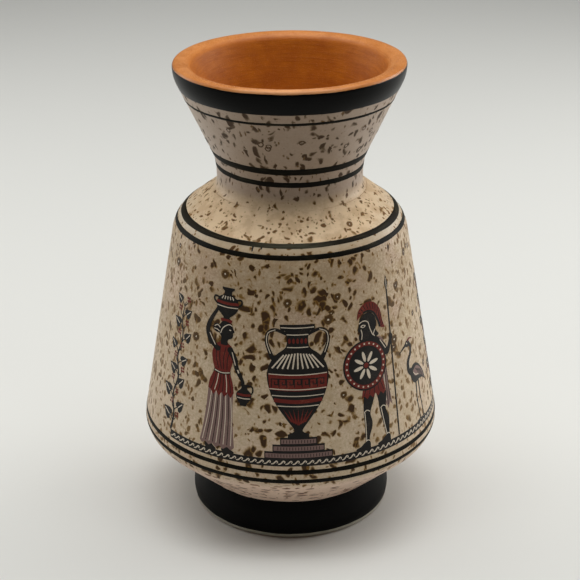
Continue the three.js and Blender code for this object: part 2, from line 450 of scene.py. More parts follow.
def zoned_cream(n, zone, fine):
    """The ground in the tones of each zone: paler low on the wall, with painted shade high on the wall's
    front, on the neck's front and on the front of the strip between the shoulder lines, and painted light on
    the shoulder.
    """
    stains = n.noise(n.place(shift=(0, 30, 30)), 5, 4.0, 0.6)
    ground = mottled_cream(n, fine, stains)
    # Painted shade: the wall darker high up at its front
    painted_wall_shade = zone.high_on_wall * zone.front_to_side(0.45, 0.0)
    ground = n.blend(painted_wall_shade, ground, srgb(160, 136, 107))
    ground = n.blend(zone.low_on_wall * 0.4, ground, srgb(214, 194, 167))
    # The neck's greyer glaze, darkened as painted shade, most at its front
    neck = n.blend(n.ramp(zone.towards_side, 8, 28), srgb(152, 131, 115), srgb(178, 159, 145))
    ground = n.blend(zone.on_neck * 0.75, ground, neck)
    # Painted light: the shoulder lighter than the wall, brightest at its front where the light falls
    shoulder = n.blend(zone.on_side, srgb(252, 221, 178), srgb(216, 199, 172))
    shoulder = n.blend(n.ramp(stains, 0.42, 0.62, 0.0, 0.55), shoulder, srgb(208, 170, 124))
    ground = n.blend(zone.on_shoulder * 0.8, ground, shoulder)
    # Painted shade: the strip between the shoulder lines darker at its front
    strip = n.blend(zone.on_side, srgb(169, 156, 133), srgb(206, 197, 178))
    ground = n.blend(zone.between_lines * 0.85, ground, strip)
    ground = n.blend(zone.under_bowl * 0.6, ground, srgb(228, 198, 182))
    return n.blend(zone.above_foot, srgb(172, 168, 152), ground)


def under_bowl_streaks(n, zone, colour):
    """The colour with brown streaks drawn round the underside of the bowl."""
    level = n.place(stretch=(0.45, 0.45, 1.5))
    streaks = n.flecks(n.bent(level, 1.0, 0.9), 1.8, 0.36, 0.66, 0.7, 0.35)
    strength = zone.under_bowl * zone.above_foot
    return n.stained(colour, streaks, strength, srgb(158, 110, 80), srgb(92, 56, 30))


def pit_halos(n, fine, colour, halo_brown, brown):
    """The colour with halos round the pits, which the pits' own pieces carry as a mark."""
    halo = n.add("ShaderNodeAttribute", attribute_name="halo", out="Fac")
    ragged = halo * (fine * 1.6 + 0.2)
    colour = n.stained(colour, n.ramp(ragged, 0.1, 0.6), 0.9, halo_brown, brown)
    return n.blend(n.ramp(ragged, 0.82, 0.95), colour, srgb(222, 208, 186))


def glaze_material():
    """Cream glaze with olive-brown specks that ran a little as it was fired."""
    material, n = new_material("speckled_glaze")
    zone = CoatZones(n)
    fine = n.noise(n.place(), 0.8, 4.0, 0.75)
    halo_brown = n.blend(zone.on_neck, srgb(156, 117, 52), srgb(118, 97, 70))
    brown = n.blend(zone.on_shoulder, srgb(60, 35, 2), srgb(108, 68, 14))
    lighter_brown = n.blend(zone.on_shoulder, srgb(94, 61, 10), srgb(132, 90, 34))
    pepper = n.flecks(n.place(shift=(20, 0, 70)), 1.3, 0.24, 0.46, 0.45, 0.6)
    blots, blobs, specks = all_specks(n, zone)

    colour = n.blend(pepper * 0.7, zoned_cream(n, zone, fine), halo_brown)
    strength = 1.0 - zone.on_side * zone.on_wall * 0.25
    colour = n.stained(colour, blots, strength, halo_brown, brown)
    colour = n.stained(colour, blobs, strength, halo_brown, brown)
    colour = n.stained(colour, specks, strength * 0.9, halo_brown, lighter_brown)
    colour = under_bowl_streaks(n, zone, colour)
    colour = pit_halos(n, fine, colour, halo_brown, brown)

    stain = n.greater(blots, n.greater(blobs, specks))
    roughness = n.ramp(stain, 0.0, 1.0, 0.36, 0.48) + fine * 0.12
    height = n.noise(n.place(), 1.8, 2.0) + fine * 0.25 - stain * 0.35
    n.finish(colour, roughness, n.bump(height, 0.35, 0.12), 0.25)
    return material


# Paint and printed ink


# The places along Y over which a line's paler front ends, in millimetres
PALER_FRONT_SPAN = (-37, -33)


def print_material(name, colour, worn_colour):
    """Printed ceramic ink: flat colour, worn a little in patches."""
    material, n = new_material(name)
    patches = n.noise(n.place(), 5, 3.0)
    grain = n.noise(n.place(), 0.45, 3.0, 0.7)
    worn = n.ramp(patches * 0.45 + grain * 0.55, 0.5, 0.68, 0.0, 0.7)
    colour = n.blend(worn, srgb(*colour), srgb(*worn_colour))
    n.finish(colour, grain * 0.15 + 0.38, n.bump(grain, 0.3, 0.04), 0.2)
    return material


def paint_material(name, colour, thin_colour, roughness, thinness, paler_front=False):
    """Brushed ceramic paint. It is thinner, and lets the glaze tint it, along its brush marks."""
    material, n = new_material(name)
    brush = n.noise(n.place(stretch=(0.08, 0.08, 1.8)), 0.8, 3.0, 0.65)
    patches = n.noise(n.place(), 6, 3.0)
    grain = n.noise(n.place(), 0.3, 2.0)
    thin = n.ramp(brush, 0.45, 0.7) * n.ramp(patches, 0.4, 0.65)
    painted = n.blend(thin * thinness, srgb(*colour), srgb(*thin_colour))
    if paler_front:
        # Paler along the brush marks at the front
        front = n.ramp(n.along("Y"), *PALER_FRONT_SPAN, 1.0, 0.0)
        painted = n.blend(front * n.ramp(brush, 0.35, 0.55, 0.35, 1.0), painted, srgb(72, 70, 56))
    n.finish(painted, grain * 0.12 + roughness, n.bump(brush + grain * 0.3, 0.3, 0.06), 0.07)
    return material


terracotta = terracotta_material()
glaze = glaze_material()
rim_paint = paint_material("rim_black", (5, 5, 4), (22, 21, 18), 0.26, 0.5)
line_paint = paint_material("line_black", (13, 11, 5), (46, 42, 26), 0.5, 0.8)
paler_line_paint = paint_material("line_black_paler", (28, 23, 11), (64, 57, 38), 0.5, 0.8, paler_front=True)
foot_paint = paint_material("foot_black", (2, 2, 2), (14, 14, 13), 0.42, 0.4)
PRINT_MATERIALS = {
    "mauve": print_material("print_mauve", (124, 98, 92), (152, 128, 114)),
    "red": print_material("print_red", (104, 30, 22), (138, 70, 52)),
    "black": print_material("print_black", (20, 17, 15), (58, 50, 42)),
    "white": print_material("print_white", (214, 200, 180), (180, 162, 138)),
}


# Outlines of the turned pieces


def unit(x, y):
    length = math.hypot(x, y)
    return (x / length, y / length)


def sunk(corners, depth):
    """The corners of the surface at a depth under an outline. The clay lies to its left."""
    edges = []
    for (_, r0, h0, _), (_, r1, h1, _) in zip(corners, corners[1:]):
        along = unit(r1 - r0, h1 - h0)
        edges.append(((r0 - along[1] * depth, h0 + along[0] * depth), along))
    moved = []
    for i, (name, radius, height, rounding) in enumerate(corners):
        level = ((radius, height), (1, 0))
        (ax, ay), (ux, uy) = edges[i - 1] if i else level
        (bx, by), (vx, vy) = edges[i] if i < len(edges) else level
        turn = ux * vy - uy * vx
        along = ((bx - ax) * vy - (by - ay) * vx) / turn
        if rounding:
            rounding = max(rounding - depth if turn > 0 else rounding + depth, SMALLEST_ROUNDING)
        moved.append((name, ax + ux * along, ay + uy * along, rounding))
    return moved


def rounded(corners):
    """Points along an outline with its corners rounded, and the place of each corner's middle."""
    points = []
    middles = {}
    for i, (name, radius, height, rounding) in enumerate(corners):
        if not rounding:
            middles[name] = len(points)
            points.append((radius, height))
            continue
        (_, r0, h0, before), (_, r1, h1, after) = corners[i - 1], corners[i + 1]
        (ux, uy), (vx, vy) = unit(radius - r0, height - h0), unit(r1 - radius, h1 - height)
        turn = math.atan2(ux * vy - uy * vx, ux * vx + uy * vy)
        room = min(
            math.hypot(radius - r0, height - h0) * (SHARED_EDGE if before else OWN_EDGE),
            math.hypot(r1 - radius, h1 - height) * (SHARED_EDGE if after else OWN_EDGE),
        )
        reach = min(rounding * math.tan(abs(turn) / 2), room)
        bend = math.copysign(reach / math.tan(abs(turn) / 2), turn)
        start = (radius - ux * reach, height - uy * reach)
        centre = (start[0] - uy * bend, start[1] + ux * bend)
        steps = max(4, math.ceil(math.degrees(abs(turn)) / ROUNDING_STEP))
        middles[name] = len(points) + steps / 2
        x, y = start[0] - centre[0], start[1] - centre[1]
        for k in range(steps + 1):
            c, s = math.cos(turn * k / steps), math.sin(turn * k / steps)
            points.append((centre[0] + x * c - y * s, centre[1] + x * s + y * c))
    return points, middles


def point_at(points, place):
    i = min(int(place), len(points) - 2)
    t = place - i
    (r0, h0), (r1, h1) = points[i], points[i + 1]
    return (r0 + (r1 - r0) * t, h0 + (h1 - h0) * t)


def place_of(points, height):
    """Where an outline first passes a height."""
    for i, ((_, low), (_, high)) in enumerate(zip(points, points[1:])):
        if min(low, high) <= height <= max(low, high) and low != high:
            return i + (height - low) / (high - low)
    raise ValueError(f"the outline doesn't pass {height} mm")


def stretch_of(points, start, end):
    between = [p for i, p in enumerate(points) if start + 1e-6 < i < end - 1e-6]
    return [point_at(points, start), *between, point_at(points, end)]


def at_height(points, height):
    return point_at(points, place_of(points, height))


def between_heights(points, low, high):
    return stretch_of(points, place_of(points, low), place_of(points, high))


def divided(points):
    """The points with more put in where two are far apart."""
    result = [points[0]]
    for (r0, h0), (r1, h1) in zip(points, points[1:]):
        count = max(1, math.ceil(math.hypot(r1 - r0, h1 - h0) / LONGEST_EDGE))
        for k in range(1, count + 1):
            result.append((r0 + (r1 - r0) * k / count, h0 + (h1 - h0) * k / count))
    return result


def at_depth(depth):
    return rounded(sunk(OUTLINE, depth))[0]


def on_line(one, other, height):
    t = (height - one[2]) / (other[2] - one[2])
    return (one[1] + (other[1] - one[1]) * t, height)


def inside_outline():
    """The bare clay from the coat's top over the lip and down the inside to the floor's centre."""
    lip = mouth_height + LIP_EDGE
    floor = seat_height + FLOOR_THICKNESS
    wall = {corner[0]: corner for corner in sunk(OUTLINE, COAT_THICKNESS + WALL_THICKNESS)}
    lip_inside = on_line(wall["rim bend"], wall["mouth"], lip - LIP_INNER_DROP)
    floor_edge = on_line(wall["crease"], wall["belly"], floor)
    corners = [
        ("coat top", mouth_radius, coat_top - COAT_THICKNESS, 0),
        ("lip edge", mouth_radius, lip, 1.0),
        ("lip crown", mouth_radius - LIP_CROWN_INSET, lip + LIP_CROWN_RISE, 6),
        ("lip inside", *lip_inside, LIP_INNER_ROUNDING),
        wall["waist"],
        wall["neck root"],
        wall["shoulder"],
        wall["belly"],
        ("floor edge", *floor_edge, FLOOR_ROUNDING),
        ("floor centre", 0, floor, 0),
    ]
    return rounded(corners)[0]


def way_up(height, reach):
    """The direction up along the finished outline, over a reach of its points to each side."""
    place = place_of(finished, height)
    before, after = point_at(finished, max(place - reach, 0)), point_at(finished, place + reach)
    return unit(after[0] - before[0], after[1] - before[1])


finished = rounded(OUTLINE)[0]
clay, clay_middles = rounded(sunk(OUTLINE, COAT_THICKNESS))
radius_of = {name: radius for name, radius, _, _ in OUTLINE}
height_of = {name: height for name, _, height, _ in OUTLINE}
mouth_radius = radius_of["mouth"]
mouth_height = height_of["mouth"]
coat_top = mouth_height - COAT_STOPS_SHORT
seat_height = point_at(clay, clay_middles["crease"])[1]
seam_height = point_at(clay, clay_middles["neck root"])[1]
inside = inside_outline()
inside_seam = place_of(inside, seam_height)
wall_slope = unit(
    radius_of["shoulder"] - radius_of["belly"], height_of["shoulder"] - height_of["belly"]
)[1]


# One tree of geometry nodes turns every piece


# The slips of a hand-made piece, in millimetres: the rise of the ridges' spiral for each radian, the
# height over which they swell, how far the rim waves, and the heights over which its tilt grows
RIDGE_RISE = 0.62
RIDGE_SWELL_HEIGHT = 9
RIM_WAVE = 0.35
RIM_TILT_GROWS = (134, 160)


def turning_tree():
    """Turns a section about the vase's axis, and gives it the slips of a hand-made piece."""
    n = ShapeNodes("Turning", [
        ("Section", "Geometry"),
        ("Steps Around", "Int"),
        ("Section Closes", "Int"),
        ("Line Wobble", "Float"),
        ("Line Tilt", "Float"),
        ("Line Seed", "Float"),
        ("Front Pinch", "Float"),
        ("Rim Tilt", "Float"),
        ("Rim Tilt Towards", "Float"),
        ("Throwing Ridges", "Float"),
    ])
    given = n.given

    # A grid with a row for each point of the section and a column for each step round the vase
    count = n.add("GeometryNodeAttributeDomainSize", given["Section"], out="Point Count")
    rows = count + given["Section Closes"]
    grid_size = {"Vertices X": given["Steps Around"] + 1, "Vertices Y": rows}
    grid = n.add("GeometryNodeMeshGrid", named=grid_size, out="Mesh")
    index = n.add("GeometryNodeInputIndex")
    column = n.math("FLOOR", (index + 0.5) / rows)
    row = n.math("MODULO", index - column * rows, count)
    angle = column / given["Steps Around"] * (2 * math.pi) + math.pi / 2
    east = n.math("COSINE", angle)
    north = n.math("SINE", angle)

    def of_section(value, kind):
        named = {"Geometry": given["Section"], "Value": value, "Index": row}
        return n.add("GeometryNodeSampleIndex", named=named, data_type=kind, domain="POINT")

    def stored(mark, kind):
        return of_section(n.stored(mark, kind), kind)

    def noise_around(scale, seed):
        place = n.add("ShaderNodeCombineXYZ", east, north, seed)
        named = {"Vector": place, "Scale": scale, "Detail": 3.0, "Roughness": 0.6}
        return n.add("ShaderNodeTexNoise", named=named) - 0.5

    point = of_section(n.add("GeometryNodeInputPosition"), "FLOAT_VECTOR")

    # Each edge of a painted line wanders by itself, the whole line tilts, and it may thin in front
    edge = stored("edge", "FLOAT")
    seed = given["Line Seed"] + edge * 3.7
    thinned = (0.5 - edge) * n.ramp(north, -0.3, -0.9) * given["Front Pinch"]
    wander = noise_around(4.0, seed) * given["Line Wobble"] + thinned - east * given["Line Tilt"]
    point = n.moved(point, n.scaled(stored("slide", "FLOAT_VECTOR"), wander))

    # A crease shows only along part of the way round
    shown = n.ramp(noise_around(1.1, 5.2), -0.05, 0.08)
    point = n.moved(point, n.scaled(stored("dent", "FLOAT_VECTOR"), shown))
    radius = n.add("ShaderNodeSeparateXYZ", point, out="X")
    height = n.add("ShaderNodeSeparateXYZ", point, out="Z")

    # Ridges that the fingers left inside, in a slow spiral
    climb = height / (RIDGE_RISE * MM) - angle
    swell = noise_around(2.0, height / (RIDGE_SWELL_HEIGHT * MM)) + 0.6
    ridge = n.math("SINE", climb) * swell * stored("thrown", "FLOAT") * 0.5
    radius = radius + ridge * given["Throwing Ridges"]

    # The rim isn't quite level
    towards = n.math("COSINE", angle - given["Rim Tilt Towards"])
    lift = towards * given["Rim Tilt"] * radius + noise_around(1.7, 2.0) * (RIM_WAVE * MM)
    height = height + lift * n.ramp(height, *(limit * MM for limit in RIM_TILT_GROWS))

    place = n.add("ShaderNodeCombineXYZ", radius * east, radius * north, height)
    piece = n.add("GeometryNodeSetPosition", named={"Geometry": grid, "Position": place})
    piece = n.add("GeometryNodeMergeByDistance", named={"Geometry": piece, "Distance": 2e-6})
    return n.finish(piece)


def in_scene(name, data):
    """A new object in the scene."""
    thing = bpy.data.objects.new(name, data)
    bpy.context.scene.collection.objects.link(thing)
    return thing


def set_inputs(modifier, values):
    """Sets a modifier's inputs by the names that its tree gives them."""
    identifiers = {
        item.name: item.identifier
        for item in modifier.node_group.interface.items_tree
        if item.in_out == "INPUT"
    }
    for name, value in values.items():
        modifier[identifiers[name]] = value


def made_plain(source, name):
    """A plain mesh object in place of one whose shape comes from a modifier."""
    bpy.context.view_layer.update()
    graph = bpy.context.evaluated_depsgraph_get()
    mesh = bpy.data.meshes.new_from_object(source.evaluated_get(graph), depsgraph=graph)
    bpy.data.objects.remove(source)
    mesh.name = name
    return in_scene(name, mesh)


def add_mark(mesh, mark, values):
    """Stores a number or a vector for each point of a mesh."""
    if isinstance(values[0], float):
        mesh.attributes.new(mark, "FLOAT", "POINT").data.foreach_set("value", values)
    else:
        flat = [part for value in values for part in value]
        mesh.attributes.new(mark, "FLOAT_VECTOR", "POINT").data.foreach_set("vector", flat)


def grown(name, tree, points, edges, marks, inputs):
    """The plain piece that a tree makes of marked points."""
    mesh = bpy.data.meshes.new(name)
    mesh.from_pydata(points, edges, [])
    for mark, values in marks.items():
        add_mark(mesh, mark, values)
    source = in_scene(name + "_points", mesh)
    modifier = source.modifiers.new(tree.name, "NODES")
    modifier.node_group = tree
    set_inputs(modifier, inputs)
    return made_plain(source, name)


def smooth(piece):
    piece.data.shade_smooth()
    piece.data.set_sharp_from_angle(angle=math.radians(SMOOTH_UP_TO))


def signed_volume(mesh):
    mesh.calc_loop_triangles()
    points = [v.co for v in mesh.vertices]
    corners = (triangle.vertices for triangle in mesh.loop_triangles)
    return sum(points[a].dot(points[b].cross(points[c])) for a, b, c in corners) / 6


def fitted(piece, replaces=()):
    """Smooths a finished piece, attaches it to the root body and hides the CAD parts that it replaces."""
    smooth(piece)
    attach(piece, "root")
    if replaces:
        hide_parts(*replaces)


TURNING = turning_tree()
HAND = {"Rim Tilt": math.tan(math.radians(0.84)), "Rim Tilt Towards": math.radians(-61)}


def turned(name, section, material, slot, node, closes=True, marks=None, **inputs):
    """Turns a section of points in millimetres. Marks hold one value for each point."""
    points = [(r * MM, 0, h * MM) for r, h in section]
    edges = [(i, i + 1) for i in range(len(points) - 1)]
    values = {"Steps Around": STEPS_AROUND, "Section Closes": int(closes), "Material": material}
    piece = grown(name, TURNING, points, edges, marks or {}, {**values, **HAND, **inputs})
    if signed_volume(piece.data) < 0:
        piece.data.flip_normals()
    fitted(piece, [node])


def foot():
    toe = clay[0]
    recess = toe[0] - FOOT_RING_WIDTH
    section = [
        (toe[0] - FOOT_EDGE_BREAK, 0),
        *stretch_of(clay, place_of(clay, FOOT_EDGE_BREAK), clay_middles["crease"]),
        (recess - FOOT_RECESS_TAPER, seat_height),
        (recess, 0),
    ]
    turned("turned_foot", divided(section), terracotta, "terracotta", "foot_ring")


def body():
    outside = stretch_of(clay, clay_middles["crease"], clay_middles["neck root"])
    outer = divided([(0, seat_height), *outside])
    inner = divided(stretch_of(inside, inside_seam, len(inside) - 1))
    thrown = [0.0] * len(outer) + [1.0] * len(inner)
    ridges = {"Throwing Ridges": BODY_RIDGES * MM}
    turned(
        "thrown_body", outer + inner, terracotta, "terracotta", "body_shell",
        closes=False, marks={"thrown": thrown}, **ridges,
    )


def neck():
    top = place_of(clay, coat_top - COAT_THICKNESS)
    outer = divided(stretch_of(clay, clay_middles["neck root"], top))
    inner = divided(stretch_of(inside, 0, inside_seam))
    ridges_end = coat_top - RIDGES_END_BELOW
    thrown = [0.0] * len(outer) + [1.0 if h < ridges_end else 0.0 for _, h in inner]
    ridges = {"Throwing Ridges": NECK_RIDGES * MM}
    turned(
        "thrown_neck", outer + inner, terracotta, "terracotta", "neck_collar",
        marks={"thrown": thrown}, **ridges,
    )


def glaze_coat():
    """The coat, with the fine crease of the neck's joint."""
    outer = divided(between_heights(finished, COAT_FOOT_CLEARANCE, JOINT_CREASE_HEIGHT))
    above = divided(between_heights(finished, JOINT_CREASE_HEIGHT, coat_top))
    inner = divided(between_heights(at_depth(COAT_THICKNESS), COAT_FOOT_CLEARANCE, coat_top))
    (r, h), (r1, h1) = outer[-1], above[1]
    along = unit(r1 - r, h1 - h)
    groove = [(r + along[0] * step, h + along[1] * step) for step, _ in JOINT_CREASE_SECTION]
    section = outer[:-1] + groove + above[1:] + inner[::-1]
    dent = [(0.0, 0.0, 0.0)] * len(section)
    for k, (_, depth) in enumerate(JOINT_CREASE_SECTION):
        reach = depth * JOINT_CREASE_DEPTH * MM
        dent[len(outer) - 1 + k] = (-along[1] * reach, 0.0, along[0] * reach)
    turned("glaze_coat", section, glaze, "speckled_glaze", "speckled_glaze", marks={"dent": dent})


def painted_line(node, bottom, width, material, wobble, tilt, pinch, seed):
    """A band of paint that follows the glaze, with soft edges."""
    top = bottom + width
    soft = min(PAINT_SOFT_EDGE, width / 4)
    proud = at_depth(-PAINT_THICKNESS)
    bend = at_depth(-PAINT_THICKNESS * EDGE_BEND_THICKNESS)
    section = [
        at_height(finished, bottom),
        at_height(bend, bottom + soft * EDGE_BEND_PLACE),
        *between_heights(proud, bottom + soft, top - soft),
        at_height(bend, top - soft * EDGE_BEND_PLACE),
        at_height(finished, top),
        *between_heights(at_depth(PAINT_SUNK), bottom, top)[::-1],
    ]
    ways = [way_up(h, 0.3) for _, h in section]
    marks = {
        "slide": [(along, 0.0, up) for along, up in ways],
        "edge": [1.0 if h > bottom + width / 2 else 0.0 for _, h in section],
    }
    slips = {
        "Line Wobble": wobble * MM, "Line Tilt": tilt * MM, "Front Pinch": pinch * MM, "Line Seed": seed,
    }
    turned("painted_" + node, section, material, "black_paint", node, marks=marks, **slips)


def painted_lines():
    """Every band: node, bottom, width, paint, wobble, tilt and pinch in front, in millimetres."""
    shoulder, belly, waist = height_of["shoulder"], height_of["belly"], height_of["waist"]
    rim_width = 7.3
    rim_bottom = coat_top - rim_width
    foot_bottom = 1.85
    rows = [
        ("rim_band", rim_bottom, rim_width, rim_paint, 0.5, 0, 0),
        ("neck_fine_line", rim_bottom - 3.95, 0.95, line_paint, 0.45, 0, 0),
        ("neck_broad_line", waist + 1.9, 2.4, line_paint, 0.5, 0.2, 0),
        ("neck_lower_line", waist - 2.75, 1.85, line_paint, 0.5, 0.2, 0),
        ("shoulder_inner_line", shoulder + 1.5, 1.7, paler_line_paint, 0.35, 0, 0.7),
        ("shoulder_outer_line", shoulder - 1.5, 1.5, line_paint, 0.4, 0, 0),
        ("belly_upper_line", belly + 4.65, 1.5, line_paint, 0.5, 0.4, 0),
        ("belly_lower_line", belly + 1.1, 1.6, line_paint, 0.5, 0.4, 0),
        ("foot_band", foot_bottom, height_of["crease"] - foot_bottom, foot_paint, 0.5, 0, 0),
    ]
    for k, row in enumerate(rows):
        painted_line(*row, seed=k * 11.0)


# A painted frieze on the wall. Its pictures are drawn flat, in millimetres, from the ground line up.


IVY_STALK = [(0, 0), (0.9, 6), (-0.9, 13), (1, 20), (-0.8, 27), (0.9, 34), (-0.5, 41), (0.5, 47)]
GROUND_HEIGHT = 41.8
STRIP_DEPTH = 2.7
WAVE_PITCH = 2.4

# The films of print: how far they reach into the coat, their thickness, that of each shape painted
# over another, and the width of the strips they are cut in to follow the coat
PRINT_SUNK = 0.05
PRINT_BASE = 0.035
PRINT_LAYER = 0.005
PRINT_CUT = 1.2


def through(points, closed=False, steps=5):
    """A smooth line through points of two or more numbers."""
    count = len(points)
    result = []
    for i in range(count if closed else count - 1):
        if closed:
            a, b, c, d = (points[(i + k) % count] for k in (-1, 0, 1, 2))
        else:
            b, c = points[i], points[i + 1]
            a = points[i - 1] if i else b
            d = points[i + 2] if i + 2 < count else c
        for k in range(steps):
            t = k / steps
            pull = (-t + 2 * t**2 - t**3, 2 - 5 * t**2 + 3 * t**3, t + 4 * t**2 - 3 * t**3, t**3 - t**2)
            corners = zip(a, b, c, d)
            result.append(tuple(sum(f * v for f, v in zip(pull, values)) / 2 for values in corners))
    return result if closed else result + [points[-1]]


def joined(*lines):
    """Smooth lines one after another, with a corner where they meet."""
    result = []
    for line in lines:
        result += through(line)[:-1] if len(line) > 1 else line
    return result


def oval(x, y, across, up, tilt=0.0, steps=20):
    c, s = math.cos(math.radians(tilt)), math.sin(math.radians(tilt))
    points = []
    for k in range(steps):
        u = across * math.cos(2 * math.pi * k / steps)
        v = up * math.sin(2 * math.pi * k / steps)
        points.append((x + u * c - v * s, y + u * s + v * c))
    return points


def box(x0, y0, x1, y1):
    return [(x0, y0), (x1, y0), (x1, y1), (x0, y1)]


def twin(half, middle=0.0):
    """A full outline from its right half, drawn from the bottom up."""
    return [(middle + x, y) for x, y in half] + [(middle - x, y) for x, y in half[::-1]]


def triangles_of(outline):
    """Triangles that fill an outline, each drawn anticlockwise."""
    filled = []
    for a, b, c in tessellate_polygon([[Vector((x, y, 0)) for x, y in outline]]):
        (ax, ay), (bx, by), (cx, cy) = outline[a], outline[b], outline[c]
        area = (bx - ax) * (cy - ay) - (by - ay) * (cx - ax)
        if area:
            filled.append((a, b, c) if area > 0 else (a, c, b))
    return filled


class Picture:
    """Flat shapes in the order they are painted: colour, points and faces."""

    def __init__(self):
        self.shapes = []

    def fill(self, colour, outline):
        self.shapes.append((colour, outline, triangles_of(outline)))

    def form(self, colour, *points):
        self.fill(colour, through(list(points), closed=True))

    def stroke(self, colour, points, *widths, steps=5):
        """A brush stroke whose width may change from point to point."""
        if len(widths) == 1:
            widths = widths * len(points)
        line = through([(x, y, w) for (x, y), w in zip(points, widths)], steps=steps)
        left, right = [], []
        for i, (x, y, w) in enumerate(line):
            x0, y0, _ = line[max(i - 1, 0)]
            x1, y1, _ = line[min(i + 1, len(line) - 1)]
            along = unit(x1 - x0, y1 - y0)
            left.append((x - along[1] * w / 2, y + along[0] * w / 2))
            right.append((x + along[1] * w / 2, y - along[0] * w / 2))
        n = len(line)
        faces = [(n + i, n + i + 1, i + 1, i) for i in range(n - 1)]
        self.shapes.append((colour, left + right, faces))

    def line(self, colour, *points, width=0.3, steps=4):
        self.stroke(colour, list(points), width, steps=steps)

    def fold(self, colour, start, end, bow, width=0.28):
        """A slightly bowed line, like a fold of cloth."""
        middle = ((start[0] + end[0]) / 2 + bow, (start[1] + end[1]) / 2)
        self.line(colour, start, middle, end, width=width)

    def levels(self):
        """How many shapes lie under each one, so that no two lie in the same layer."""
        result, reaches = [], []
        for _, points, _ in self.shapes:
            xs, ys = zip(*points)
            west, south, east, north = min(xs), min(ys), max(xs), max(ys)
            under = [
                level for level, (w, s, e, n) in zip(result, reaches)
                if west < e and w < east and south < n and s < north
            ]
            reaches.append((west, south, east, north))
            result.append(max(under, default=0) + 1)
        return result


